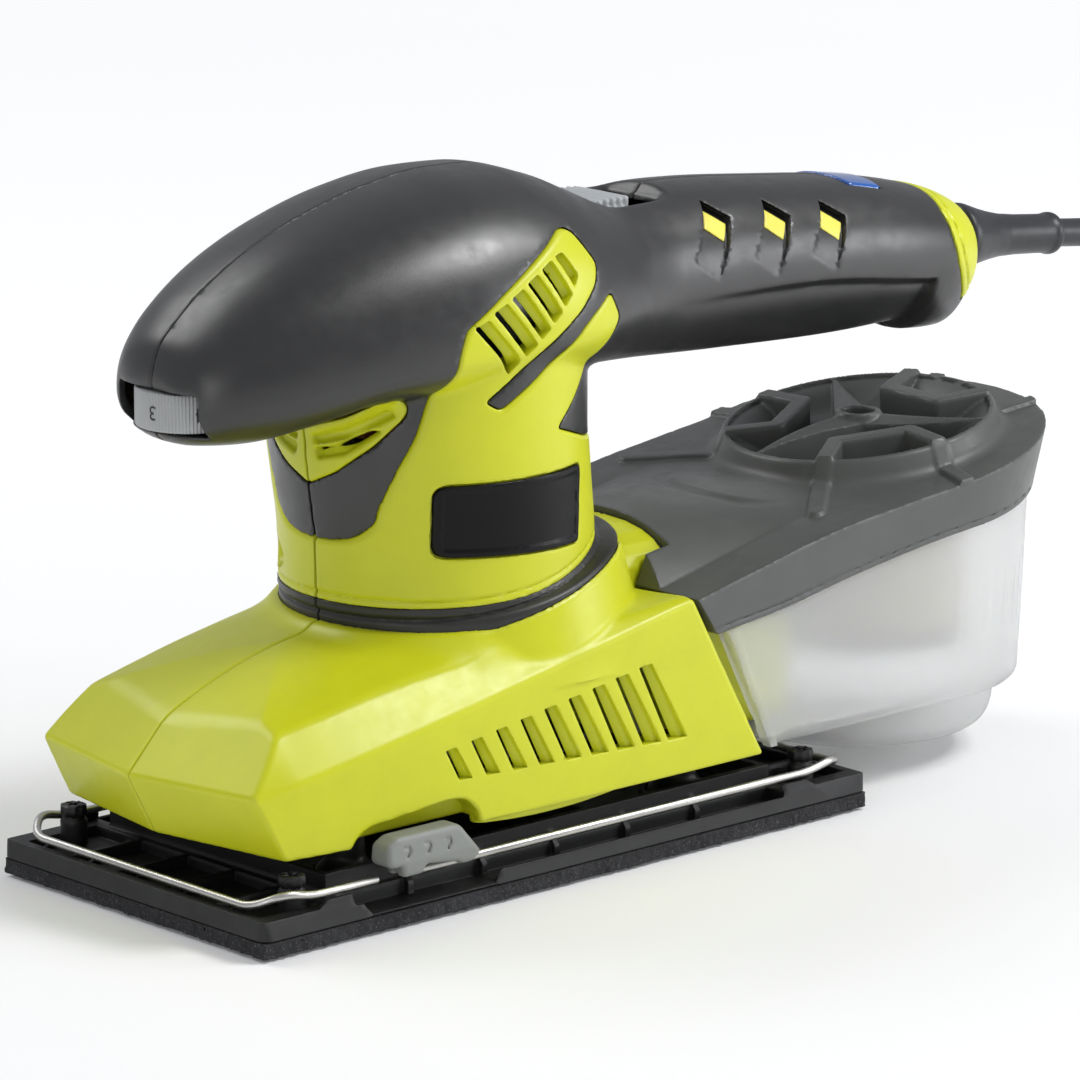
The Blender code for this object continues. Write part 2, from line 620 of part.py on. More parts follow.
def lower_housing():
    outer = lower_volume()
    arch = [(y, z) for y, z in HUMP] + [(-y, z) for y, z in reversed(HUMP[:-1])]
    hump = loft([[(x, y, z) for y, z in arch] for x in (30.0, 50.0)])
    outer = join(outer, hump)
    spigot = block((40.0, -SPIGOT["half"], SPIGOT["bottom"]), (SPIGOT["x"], SPIGOT["half"], SPIGOT["top"]))
    channel = block((30.0, -SPIGOT["half"] + 2.2, SPIGOT["bottom"] + 2.2),
                    (SPIGOT["x"] + 2, SPIGOT["half"] - 2.2, SPIGOT["top"] - 2.2))
    shell = keep(outer, half_space(-1))
    hollow = lower_hollow()
    hollow = cut(hollow, keep(across(*NOSE_SCREW, -50, 5, 4.4), lower_volume()))
    sockets = [(x - ORBIT, -LEG_Y) for x in (-LEG_X, LEG_X)]
    for centre in sockets:
        hollow = cut(hollow, disc(8.6, 25.0, 70.0, 12, centre))
    shell = cut(shell, hollow)
    shell = join(shell, keep(spigot, half_space(-1)))
    shell = cut(shell, channel)
    for centre in sockets:
        shell = cut(shell, disc(6.7, 12.0, 33.0, 12, centre))
    shell = cut(shell, disc(SEAT_RADIUS, SEAT_LEVEL, 90.0, 32))
    shell = cut(shell, disc(31.0, 40.0, 60.0, 32))
    shell = cut(shell, across(*NOSE_SCREW, -12, 5, 1.8, 12))
    for index in range(SIDE_VENTS):
        shell = cut(shell, side_vent(index))
    right = mirrored(shell)
    left = cut(shell, side_prism(finger_recess(), -60, -34))
    right = cut(right, side_prism([(-x, z) for x, z in reversed(finger_recess())], 34, 60))
    seat = 20.0
    right = cut(right, across(*NOSE_SCREW, seat, 60, 3.5, 14))
    right = cut(right, across(*NOSE_SCREW, -5, seat + 5, 2.1, 8))
    screw = join(across(*NOSE_SCREW, seat + GAP, seat + 2.4, 3.0, 14),
                 across(*NOSE_SCREW, -9.0, seat + 1.0, 1.4, 10))
    name_piece(screw, "nose_screw", "steel")
    name_piece(left, "left_base_housing", "lime")
    name_piece(right, "right_base_housing", "lime")


# ---- controls and cord ------------------------------------------------------------------------------
CORD = [(138.0, 0, 121.6), (164.0, 0, 121.3), (205.0, 0, 117.2), (236.0, 0, 113.4), (262.0, 0, 108.0)]


def controls():
    teeth = 36
    outline = [((DIAL_RADIUS - (0.45 if k % 2 else 0.0)) * math.cos(2 * math.pi * k / teeth) + DIAL_X,
                (DIAL_RADIUS - (0.45 if k % 2 else 0.0)) * math.sin(2 * math.pi * k / teeth))
               for k in range(teeth)]
    dial = plan_prism(outline, 110.0, 118.5)
    dial = cut(dial, disc(3.3, 105.0, 125.0, 10, (DIAL_X, 0.0)))
    name_piece(dial, "speed_dial", "white_plastic", pivot=(DIAL_X, 0.0, 114.0))
    spindle = disc(3.0, 111.0, 124.0, 10, (DIAL_X, 0.0))
    board = join(block((-78.0, -3.0, 121.0), (-52.0, 3.0, 124.0)),
                 block((-66.0, -16.0, 119.5), (-44.0, 16.0, 127.0)))
    name_piece(join(board, spindle), "speed_controller", "black_moulding")
    name_piece(block((34.0, -8.5, 120.0), (64.0, 8.5, 137.4)), "switch_body", "black_moulding")
    slider = side_prism([(36.0, 143.0), (36.0, 146.6), (37.4, 148.6), (43.0, 149.2), (48.6, 149.0),
                         (50.0, 147.4), (50.0, 143.0)], -10.4, 10.4)
    slider = join(slider, block((40.0, -2.5, 137.8), (46.0, 2.5, 146.0)))
    name_piece(slider, "switch_slider", "white_plastic")
    start, end = Vector(CORD[1]), Vector(CORD[2])
    guard = []
    for t, radius in [(-0.15, 5.0), (0.04, 5.0), (0.041, 8.2), (0.10, 8.2), (0.16, 7.2), (0.5, 5.8),
                      (0.85, 4.9), (0.9, 4.9)]:
        guard.append((start + (end - start) * t, radius))
    way = (end - start).normalized()
    side = Vector((0, 1, 0))
    up = way.cross(side)
    rings = [[tuple(c + (side * math.cos(a) + up * math.sin(a)) * r)
              for a in (2 * math.pi * k / 16 for k in range(16))] for c, r in guard]
    boot = loft(rings)
    inner_start = start - (end - start) * 0.3
    boot = cut(boot, rod([inner_start, end + way * 4], 3.9, 12))
    name_piece(boot, "cord_guard", "black_moulding")
    cord = [inner_start, start, end] + [Vector(p) for p in CORD[3:]]
    name_piece(rod(rounded(cord, 12.0, 3), 3.5, 12), "power_cord", "black_moulding")


# ---- motor and drive --------------------------------------------------------------------------------
def rotor():
    shaft = join(disc(SHAFT_RADIUS, 22.0, 126.0), disc(3.5, 11.5, 23.0, 20, (ORBIT, 0.0)))
    name_piece(shaft, "rotor_shaft", "steel")
    name_piece(turned([(17.5, 72.0), (17.5, 98.0)], bore=BORE), "armature_core", "steel")
    name_piece(turned([(13.0, 98.3), (15.0, 100.0), (15.0, 103.0), (12.0, 105.0)], bore=BORE),
               "armature_winding", "copper")
    name_piece(turned([(9.5, 105.4), (9.5, 117.0)], bore=BORE), "commutator", "copper")
    weight = join(disc(8.0, 26.0, 36.0),
                  plan_prism([(0.0, 0.0)] + [(-20.0 * math.cos(math.radians(a)),
                                              20.0 * math.sin(math.radians(a)))
                                             for a in range(-70, 71, 14)], 26.0, 35.0))
    name_piece(cut(weight, disc(BORE, 20.0, 40.0)), "eccentric_counterweight", "steel")
    wheel = join(disc(28.0, 38.0, 39.6, 28), disc(8.0, 38.0, 49.0))
    for k in range(11):
        a = 2 * math.pi * k / 11
        along_blade = Vector((math.cos(a), math.sin(a)))
        aside = Vector((-math.sin(a), math.cos(a)))
        corners = [along_blade * 12 - aside * 0.8, along_blade * 26.5 + aside * 3.4,
                   along_blade * 26.5 + aside * 5.0, along_blade * 12 + aside * 0.8]
        wheel = join(wheel, plan_prism([tuple(c) for c in corners], 39.0, 48.4))
    name_piece(cut(wheel, disc(BORE, 30.0, 60.0)), "fan", "black_moulding")


def motor_frame():
    name_piece(turned([(27.0, 70.0), (27.0, 99.0)], 28, bore=18.4), "field_core", "steel")
    for name, way in (("field_coil_front", 180), ("field_coil_rear", 0)):
        inner = [(19.5, a) for a in range(-58, 59, 29)]
        outer = [(26.0, a) for a in range(58, -59, -29)]
        outline = [(r * math.cos(math.radians(a + way)), r * math.sin(math.radians(a + way)))
                   for r, a in inner + outer]
        name_piece(plan_prism(outline, 99.4, 104.5), name, "copper")
    for name, side in (("right_brush_holder", 1), ("left_brush_holder", -1)):
        low, high = sorted((side * 10.8, side * 25.0))
        holder = cut(block((-5.2, low, 106.6), (5.2, high, 116.6)),
                     block((-3.4, low - 1, 108.2), (3.4, high + 1, 115.0)))
        name_piece(holder, name, "black_moulding")
        low, high = sorted((side * 9.9, side * 21.0))
        name_piece(block((-3.0, low, 108.6), (3.0, high, 114.6)),
                   name.replace("brush_holder", "carbon_brush"), "carbon")
    name_piece(turned([(8.0, 118.0), (8.0, 124.0)], bore=BORE), "upper_bearing", "steel")
    name_piece(turned([(13.0, 58.4), (13.0, 64.4)], bore=BORE), "lower_bearing", "steel")
    bracket = turned([(34.6, 55.3), (34.6, 57.8), (17.0, 57.8), (17.0, 65.0)], 32)
    bracket = cut(bracket, disc(13.4, 58.1, 70.0))
    bracket = cut(bracket, disc(5.5, 50.0, 60.0))
    for k in range(6):
        a = 2 * math.pi * (k + 0.5) / 6
        bracket = cut(bracket, disc(5.0, 50.0, 60.0, 10, (25.0 * math.cos(a), 25.0 * math.sin(a))))
    name_piece(bracket, "bearing_bracket", "black_moulding")
    name_piece(turned([(11.0, 13.2), (11.0, 20.2)], 20, (ORBIT, 0.0), bore=3.9), "platen_bearing",
               "steel")


# ---- platen -----------------------------------------------------------------------------------------
def platen():
    half_x, half_y = PAD_LENGTH / 2, PAD_WIDTH / 2
    name_piece(block((-half_x, -half_y, 0.0), (half_x, half_y, FOAM_TOP)), "foam_pad", "foam")
    base = block((-half_x, -half_y, FOAM_TOP + GAP), (half_x, half_y, BASE_TOP))
    floor, trough = 6.2, 5.2
    base = cut(base, block((-64.0, -34.0, floor), (64.0, 34.0, 20.0)))
    for side in (1, -1):
        low, high = sorted((side * 39.0, side * 45.2))
        base = cut(base, block((-66.0, low, trough), (66.0, high, 20.0)))
        x0, x1 = sorted((side * 24.0, side * 62.0))
        low, high = sorted((side * 39.0, side * 50.0))
        base = cut(base, block((x0, low, trough), (x1, high, 20.0)))
        for k in range(5):
            y = -41.0 + 16.6 * k
            x0, x1 = sorted((side * 70.0, side * 89.6))
            base = cut(base, block((x0, y, floor), (x1, y + 15.0, 20.0)))
    wall = cut(block((-68.0, -38.0, 6.0), (68.0, 38.0, 13.4)), block((-66.0, -36.0, 0.0), (66.0, 36.0, 20.0)))
    base = join(base, wall)
    for x in (-78.0, 78.0):
        for y in (-38.5, 38.5):
            base = join(base, disc(3.2, 5.0, 15.6, 10, (x, y)))
    hub = disc(14.5, 5.0, 20.6, 20, (ORBIT, 0.0))
    base = join(base, hub)
    base = cut(base, disc(11.4, 12.9, 30.0, 20, (ORBIT, 0.0)))
    base = cut(base, disc(8.0, 0.0, 30.0, 20, (ORBIT, 0.0)))
    name_piece(base, "platen_base", "black_moulding")
    washer = turned([(7.4, 9.4), (7.4, 11.0)], 20, (ORBIT, 0.0), bore=2.4)
    name_piece(washer, "platen_washer", "steel")
    bolt = join(disc(4.6, 6.0, 9.1, 6, (ORBIT, 0.0)), disc(2.0, 7.0, 11.2, 10, (ORBIT, 0.0)))
    name_piece(bolt, "platen_screw", "steel")
    for name, x, y in (("support_leg_front_left", -LEG_X, -LEG_Y), ("support_leg_front_right", -LEG_X, LEG_Y),
                       ("support_leg_rear_left", LEG_X, -LEG_Y), ("support_leg_rear_right", LEG_X, LEG_Y)):
        leg = turned([(7.0, floor + GAP), (7.0, 9.0), (4.4, 11.5), (4.4, 30.5)], 12, (x, y))
        name_piece(leg, name, "ring_rubber")


def paper_clamps():
    """The rear clamp, whose lever is on the left side, and its twin turned half round."""
    level, side = WIRE_LEVEL, WIRE_SIDE
    path = [(-50.0, -side, level), (76.0, -side, level), (84.0, -side, 13.2), (89.4, -38.0, 10.2),
            (89.4, 38.0, 10.2), (84.0, side, 13.2), (76.0, side, level), (58.0, side, level)]
    wire = rod(rounded(path, 3.2), WIRE_RADIUS)
    lever = side_prism([(-57.4, 14.4), (-54.0, 11.6), (-32.0, 11.6), (-29.6, 13.6), (-35.6, 20.6),
                        (-54.4, 20.8), (-57.2, 19.0)], -47.6, -40.4)
    lever = cut(lever, rod([(-60.0, -side, level), (-20.0, -side, level)], WIRE_RADIUS + 1.4 * GAP, 8))
    return wire, lever


def clamps():
    wire, lever = paper_clamps()
    pivot = (CLAMP_PIVOT_X, 0.0, WIRE_LEVEL)
    front = (-CLAMP_PIVOT_X, 0.0, WIRE_LEVEL)
    name_piece(half_turned(wire), "front_clamp_wire", "steel", pivot=front)
    name_piece(half_turned(lever), "front_clamp_lever", "lever_grey", pivot=front)
    name_piece(wire, "rear_clamp_wire", "steel", pivot=pivot)
    name_piece(lever, "rear_clamp_lever", "lever_grey", pivot=pivot)


# ---- dust box ---------------------------------------------------------------------------------------
def box_outline(front_x, half, radius, sides=16):
    """Plan outline: straight sides from the front edge, then round the rear."""
    points = [(front_x, -half)]
    for k in range(sides + 1):
        a = -math.pi / 2 + math.pi * k / sides
        points.append((BOWL_X + radius * math.cos(a), radius * math.sin(a)))
    points.append((front_x, half))
    return points


def box_ring(front_x, half, radius, height):
    """The outline at a level, or on a curve of (x, z)."""
    level = (lambda x: along(height, x)) if isinstance(height, list) else (lambda x: height)
    return [(x, y, level(x)) for x, y in box_outline(front_x, half, radius)]


def dust_bin():
    def upper(inset, floor, rim_drop):
        rim = [(x, z - rim_drop) for x, z in LID_SKIRT]
        return loft([box_ring(66.0 - inset, 40.4 - inset, 40.4 - inset, floor),
                     box_ring(50.0 - inset, BIN_RADIUS - inset, BIN_RADIUS - inset, rim)])

    def bowl(inset):
        profile = [(26.5, 5.6 + inset), (32.2 - inset * 0.6, 7.8 + inset * 0.5), (34.4 - inset, 13.0),
                   (35.2 - inset, 24.0 + inset)]
        return turned(profile, 28, (BOWL_X, 0.0))

    shell = join(upper(0.0, SKIRT_BOTTOM, 0.4), bowl(0.0))
    shell = cut(shell, upper(2.0, SKIRT_BOTTOM + 2.0, -30.0))
    shell = cut(shell, bowl(2.0))
    opening = side_prism([(30.0, 80.0), (62.0, 80.0), (72.0, 20.4), (30.0, 20.4)], -38.4, 38.4)
    shell = cut(shell, opening)
    name_piece(shell, "dust_bin", "bin_clear")


def lid_ring(front_x, half, radius, height, lift):
    """A lid outline with a notch at the front that clears the housing's hump."""
    ring = [(x, y, z + lift) for x, y, z in box_ring(front_x, half, radius, height)]
    back, notch_half = 50.6, 22.0
    level = along(height, back) + lift
    start = along(height, front_x) + lift
    return ring + [(front_x, notch_half, start), (back, notch_half, level),
                   (back, -notch_half, level), (front_x, -notch_half, start)]


def duct_hump():
    """Low arch on the lid, carrying the housing's hump back to the drum."""
    sections = []
    for x, crown in ((51.0, 71.6), (66.0, 72.4), (82.0, 72.4), (97.0, 71.9), (110.0, 72.6)):
        foot = along(LID_RIM, x) - 0.6
        arch = [(y, foot + (crown - foot) * (1 - (abs(y) / 31.0) ** 2.2)) for y in (-31, -24, -16, -8, 0)]
        arch += [(-y, z) for y, z in reversed(arch[:-1])]
        sections.append([(x, y, z) for y, z in arch])
    return loft(sections)


def on_drum(outline, low, high):
    """A prism over a plan outline, between two lists of heights above the drum's sloping top."""
    middle = [TUBE_X, 0.0]
    rings = []
    for lifts in (low, high):
        rings.append([(middle[0] + x, middle[1] + y, DRUM_LEVEL + lift + DRUM_TILT * x)
                      for (x, y), lift in zip(outline, lifts)])
    return loft(rings)


def polar(radius, azimuth, aside=0.0):
    """A point seen from the tube's axis, moved sideways by a distance."""
    a = math.radians(azimuth)
    return radius * math.cos(a) - aside * math.sin(a), radius * math.sin(a) + aside * math.cos(a)


def drum_frame(azimuth):
    """A raised frame on the drum: two legs running inwards, joined by a bar."""
    left, right = azimuth + 25.0, azimuth - 25.0
    outline = [polar(35.0, left, 2.0), polar(17.6, left, 2.0), polar(17.6, right, -2.0),
               polar(35.0, right, -2.0), polar(35.0, right, 2.0), polar(22.0, right, 2.0),
               polar(22.0, left, -2.0), polar(35.0, left, -2.0)]
    return on_drum(outline, [-6.0] * 8, [1.0] * 8)


def dust_lid():
    outer = loft([lid_ring(46.6, 43.0, 43.6, LID_SKIRT, 0.0), lid_ring(40.0, 43.6, 46.6, LID_RIM, 0.0),
                  lid_ring(40.7, 42.9, 45.9, LID_RIM, 0.6)])
    inner = loft([lid_ring(53.5, 40.0, 40.4, LID_SKIRT, -5.0), lid_ring(53.5, 40.2, 42.0, LID_SKIRT, 2.0),
                  lid_ring(53.5, 39.0, 41.0, LID_RIM, -5.6)])
    lid = cut(outer, inner)
    round_plan = circle(1.0, 28)

    def disc_on_drum(foot, top, low, high):
        rings = []
        for radius, lift in ((foot, low), (top, high)):
            rings.append([(TUBE_X + radius * x, radius * y, DRUM_LEVEL + lift + DRUM_TILT * radius * x)
                          for x, y in round_plan])
        return loft(rings)

    lid = join(lid, duct_hump())
    lid = join(lid, disc_on_drum(36.4, 32.6, -8.0, 0.0))
    lid = cut(lid, disc_on_drum(27.0, 31.2, -5.2, 0.02))
    for k in range(3):
        lid = join(lid, drum_frame(DRUM_FRAME + 120.0 * k))
        way = DRUM_FRAME + 60.0 + 120.0 * k
        outline = [polar(4.6, way, 4.4), polar(4.6, way, -4.4), polar(31.6, way, -0.5), polar(31.6, way, 0.5)]
        lid = join(lid, on_drum(outline, [-6.0] * 4, [0.9, 0.9, -0.2, -0.2]))
    lid = join(lid, disc(5.6, 70.6, 82.4, 20, (TUBE_X, 0.0)))
    lid = cut(lid, disc(4.2, 40.0, 100.0, 20, (TUBE_X, 0.0)))
    name_piece(lid, "dust_lid", "lid_grey")


def dust_filter():
    pleats = 18
    outline = [((26.0 if k % 2 else 22.0) * math.cos(math.pi * k / pleats) + TUBE_X,
                (26.0 if k % 2 else 22.0) * math.sin(math.pi * k / pleats)) for k in range(2 * pleats)]
    body = plan_prism(outline, 28.0, 60.0)
    name_piece(cut(body, disc(15.0, 20.0, 70.0, 18, (TUBE_X, 0.0))), "dust_filter", "filter_paper")


for old in list(bpy.data.objects):
    bpy.data.objects.remove(old)

upper_housing()
side_fittings()
neck_ring()
lower_housing()
controls()
rotor()
motor_frame()
platen()
clamps()
dust_bin()
dust_lid()
dust_filter()
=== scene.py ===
"""Looks for the handle-type orbital finishing sander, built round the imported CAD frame.

Most mouldings are sculpted from distance fields: a function gives, for arrays of points in millimetres,
the distance to the piece's skin (negative inside), and sculpt() turns it into a mesh with crisp creases.
"""

import math
from functools import reduce

import bmesh
import bpy
import numpy as np
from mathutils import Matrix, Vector


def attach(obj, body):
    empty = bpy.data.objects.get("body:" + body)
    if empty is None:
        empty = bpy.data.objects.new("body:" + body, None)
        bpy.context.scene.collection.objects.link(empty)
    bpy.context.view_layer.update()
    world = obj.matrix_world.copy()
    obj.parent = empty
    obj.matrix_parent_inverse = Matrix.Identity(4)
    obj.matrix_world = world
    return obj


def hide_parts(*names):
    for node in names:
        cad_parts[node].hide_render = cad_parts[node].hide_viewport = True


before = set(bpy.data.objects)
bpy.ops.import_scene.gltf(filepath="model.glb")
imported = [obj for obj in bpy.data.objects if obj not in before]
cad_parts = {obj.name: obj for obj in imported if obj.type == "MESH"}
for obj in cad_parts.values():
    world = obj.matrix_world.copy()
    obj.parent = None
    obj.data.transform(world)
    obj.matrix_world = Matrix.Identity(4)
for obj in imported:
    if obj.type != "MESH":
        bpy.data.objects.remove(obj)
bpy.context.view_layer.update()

MM = 0.001
COARSER = 1.0
WALL = 2.6               # of the mouldings
SEAM = 0.14              # half of the parting gap at the middle plane
RING_X = 1.9             # centre of the neck's rubber ring
DIAL = (-73.4, 0.0)      # axis of the speed dial
TUBE = (134.5, 0.0)      # axis of the tube in the dust lid
BOWL_X = 133.0           # centre of the dust box's round rear
ORBIT = 1.2              # offset of the platen's hub from the motor's axis
PLATEN = (92.5, 46.5)    # half length and half width
POST = (78.0, 38.5)      # corner posts of the platen, from its middle
LEG = (51.0, 25.0)       # support legs, from the platen's middle


# ---- fields ----
def most(*fields):
    """The highest of several fields at each point: what their solids share."""
    return reduce(np.maximum, fields)


def least(*fields):
    """The lowest of several fields at each point: their solids together."""
    return reduce(np.minimum, fields)


def blend_min(a, b, k):
    h = np.maximum(k - np.abs(a - b), 0.0) / k
    return np.minimum(a, b) - h * h * k * 0.25


def blend_max(a, b, k):
    return -blend_min(-a, -b, k)


def carve(skin, zone, depth, k):
    """Sink the skin by a depth inside a zone."""
    return blend_max(skin, blend_min(skin + depth, -zone, k), k)


def cut(skin, hole, k):
    """Take a hole out of the skin, with its edge eased."""
    return blend_max(skin, -hole, k)


def ease(t):
    t = np.clip(t, 0.0, 1.0)
    return t * t * (3 - 2 * t)


def smooth_curve(curve):
    """Function of x through (x, value) points that never overshoots them."""
    xs = np.array([p[0] for p in curve], float)
    vs = np.array([p[1] for p in curve], float)
    width = np.diff(xs)
    slope = np.diff(vs) / width
    tangent = np.zeros(len(xs))
    tangent[0], tangent[-1] = slope[0], slope[-1]
    for i in range(1, len(xs) - 1):
        if slope[i - 1] * slope[i] > 0:
            tangent[i] = 2 * slope[i - 1] * slope[i] / (slope[i - 1] + slope[i])
    fine = np.linspace(xs[0], xs[-1], 1200)
    i = np.clip(np.searchsorted(xs, fine, side="right") - 1, 0, len(slope) - 1)
    t = (fine - xs[i]) / width[i]
    value = (vs[i] * (2 * t**3 - 3 * t**2 + 1) + tangent[i] * width[i] * (t**3 - 2 * t**2 + t)
             + vs[i + 1] * (3 * t**2 - 2 * t**3) + tangent[i + 1] * width[i] * (t**3 - t**2))
    return lambda x: np.interp(x, fine, value)


def corner_curve(before, corner, after, radius, steps):
    """Points of a short curve in place of a corner."""
    start = corner + (before - corner).normalized() * min(radius, (before - corner).length * 0.48)
    end = corner + (after - corner).normalized() * min(radius, (after - corner).length * 0.48)
    shares = [k / steps for k in range(steps + 1)]
    return [tuple(start * (1 - t) ** 2 + corner * 2 * t * (1 - t) + end * t**2) for t in shares]


def round_corners(outline, radius, steps=4):
    """The closed outline with every corner replaced by a short curve."""
    points = [Vector(p) for p in outline]
    result = []
    for i, corner in enumerate(points):
        result += corner_curve(points[i - 1], corner, points[(i + 1) % len(points)], radius, steps)
    return result


def line_field(px, py, path):
    """Distance to an open path in a plane."""
    nearest = np.full(px.shape, 1e9)
    for (ax, ay), (bx, by) in zip(path, path[1:]):
        ex, ey = bx - ax, by - ay
        t = np.clip(((px - ax) * ex + (py - ay) * ey) / (ex * ex + ey * ey + 1e-12), 0.0, 1.0)
        nearest = least(nearest, np.hypot(px - ax - ex * t, py - ay - ey * t))
    return nearest


def zone(outline):
    """Signed distance to a closed outline in a plane, as a function of two arrays."""
    points = [tuple(float(c) for c in p) for p in outline]
    points.append(points[0])

    def distance(px, py):
        inside = np.zeros(px.shape, bool)
        for (ax, ay), (bx, by) in zip(points, points[1:]):
            if ay != by:
                inside ^= ((ay > py) != (by > py)) & (px < (bx - ax) * (py - ay) / (by - ay) + ax)
        return np.where(inside, -1.0, 1.0) * line_field(px, py, points)

    return distance


def box_field(x, y, z, low, high, k):
    """Distance to a box; k rounds its edges."""
    centre, half = (np.array(low) + high) / 2, (np.array(high, float) - low) / 2
    r = min(k, min(half) * 0.98)
    q = [np.abs(c - centre[i]) - (half[i] - r) for i, c in enumerate((x, y, z))]
    outside = np.sqrt(sum(most(c, 0.0) ** 2 for c in q))
    return outside + least(most(q[0], q[1], q[2]), 0.0) - r


def cylinder(a, b, centre, radius):
    return np.hypot(a - centre[0], b - centre[1]) - radius


def sculpt(field, low, high, cell):
    """Corners and quads of a field's skin, by dual contouring with creases kept."""
    cell = cell * COARSER
    size = 8
    low = np.array(low, float) - 1.5 * cell
    blocks = np.ceil((np.array(high) - low) / cell / size).astype(int) + 1
    grid = np.empty(tuple(blocks * size), np.float32)
    tiles = grid.reshape(blocks[0], size, blocks[1], size, blocks[2], size)
    index = np.indices(tuple(blocks)).reshape(3, -1).T
    centre = low + (index * size + (size - 1) / 2) * cell
    middle = field(*centre.T)
    reach = size * cell * 0.87 * 1.3 + 1.5
    tiles[index[:, 0], :, index[:, 1], :, index[:, 2], :] = middle[:, None, None, None]
    live = index[np.abs(middle) < reach]
    steps = np.indices((size, size, size)).reshape(3, -1).T
    for k in range(0, len(live), 600):
        part = live[k:k + 600]
        points = low + (part[:, None, :] * size + steps[None]) * cell
        values = field(*points.reshape(-1, 3).T).reshape(len(part), size, size, size)
        tiles[part[:, 0], :, part[:, 1], :, part[:, 2], :] = values
    inside = grid < 0

    def slope(p):
        h = 0.02
        here = field(*p.T)
        grad = np.stack([field(*(p + np.eye(3)[i] * h).T) - here for i in range(3)], -1) / h
        return here, grad, most(np.linalg.norm(grad, axis=1), 1e-6)

    shape = grid.shape
    ids, hits, normals, quads = [], [], [], []
    for axis in range(3):
        head = [slice(None)] * 3
        tail = [slice(None)] * 3
        head[axis], tail[axis] = slice(0, -1), slice(1, None)
        crossing = np.argwhere(inside[tuple(head)] != inside[tuple(tail)])
        step = np.eye(3, dtype=int)[axis]
        near = grid[tuple(crossing.T)]
        far = grid[tuple((crossing + step).T)]
        hit = low + (crossing + (near / (near - far))[:, None] * step) * cell
        here, grad, length = slope(hit)
        normal = grad / length[:, None]
        hit = hit - normal * np.clip(here / length, -cell * 0.5, cell * 0.5)[:, None]
        b, c = (axis + 1) % 3, (axis + 2) % 3
        around = []
        for db, dc in ((-1, -1), (0, -1), (0, 0), (-1, 0)):
            cellid = crossing.copy()
            cellid[:, b] += db
            cellid[:, c] += dc
            around.append(np.ravel_multi_index(cellid.T, shape, mode="clip"))
        around = np.stack(around, -1)
        around[near >= 0] = around[near >= 0][:, ::-1]
        quads.append(around)
        for column in range(4):
            ids.append(around[:, column])
            hits.append(hit)
            normals.append(normal)
    quads = np.concatenate(quads)
    ids, hits, normals = np.concatenate(ids), np.concatenate(hits), np.concatenate(normals)
    cells, where = np.unique(ids, return_inverse=True)
    count = len(cells)

    def total(values):
        return np.bincount(where, values, count)

    number = total(np.ones(len(where)))
    mass = np.stack([total(hits[:, i]) for i in range(3)], -1) / number[:, None]
    offset = np.einsum("ij,ij->i", normals, hits - mass[where])
    matrix = np.empty((count, 3, 3))
    for i in range(3):
        for j in range(i, 3):
            matrix[:, i, j] = matrix[:, j, i] = total(normals[:, i] * normals[:, j])
    right = np.stack([total(normals[:, i] * offset) for i in range(3)], -1)
    matrix += np.eye(3) * (0.06 * number)[:, None, None]
    shift = np.linalg.solve(matrix, right[..., None])[..., 0]
    corner = mass + np.clip(shift, -cell * 0.7, cell * 0.7)
    return corner, np.searchsorted(cells, quads)


def added(name, data):
    obj = bpy.data.objects.new(name, data)
    bpy.context.scene.collection.objects.link(obj)
    return obj


def object_from(name, corner, faces, material, body, stands_for, slot):
    """A smooth-shaded object from corners in millimetres and an array of faces, riding on a body."""
    mesh = bpy.data.meshes.new(name)
    corner = np.asarray(corner, np.float32) * MM
    faces = np.asarray(faces, np.int32)
    sides = faces.shape[1]
    mesh.vertices.add(len(corner))
    mesh.vertices.foreach_set("co", corner.ravel())
    mesh.loops.add(faces.size)
    mesh.loops.foreach_set("vertex_index", faces.ravel())
    mesh.polygons.add(len(faces))
    mesh.polygons.foreach_set("loop_start", np.arange(0, faces.size, sides, dtype=np.int32))
    mesh.update(calc_edges=True)
    mesh.validate()
    return settle(added(name, mesh), material, body, stands_for)


def settle(obj, material, body, stands_for, angle=42):
    """Material, shading, body and the CAD nodes that an object stands for."""
    obj.data.materials.clear()
    obj.data.materials.append(material)
    if obj.type == "MESH":
        obj.data.shade_smooth()
        obj.data.set_sharp_from_angle(angle=math.radians(angle))
    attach(obj, body)
    if stands_for:
        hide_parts(*stands_for)
    return obj


def ring_quads(rings, sides, closed):
    """Quads between rings of points. A closed run also joins last to first; an open one is capped."""
    quads = []
    for i in range(rings if closed else rings - 1):
        a, b = i * sides, (i + 1) % rings * sides
        for k in range(sides):
            j = (k + 1) % sides
            quads.append([a + k, b + k, b + j, a + j] if closed else [a + k, a + j, b + j, b + k])
    last = (rings - 1) * sides
    return quads if closed else quads + [list(range(sides))[::-1], list(range(last, last + sides))]


def listed_object(name, corners, faces, material, body, stands_for=(), slot=None, angle=42, outward=False):
    """As object_from, for lists of faces with any number of sides."""
    mesh = bpy.data.meshes.new(name)
    mesh.from_pydata([Vector(c) * MM for c in corners], [], faces)
    if outward:
        shape = bmesh.new()
        shape.from_mesh(mesh)
        bmesh.ops.remove_doubles(shape, verts=shape.verts, dist=1e-7)
        bmesh.ops.recalc_face_normals(shape, faces=shape.faces)
        shape.to_mesh(mesh)
        shape.free()
    return settle(added(name, mesh), material, body, stands_for, angle)


def mirrored(corner, faces):
    return corner * np.array([1, -1, 1]), faces[:, ::-1]


# ---- materials ----
def give(node, values):
    for key, value in values.items():
        node.inputs[key].default_value = value


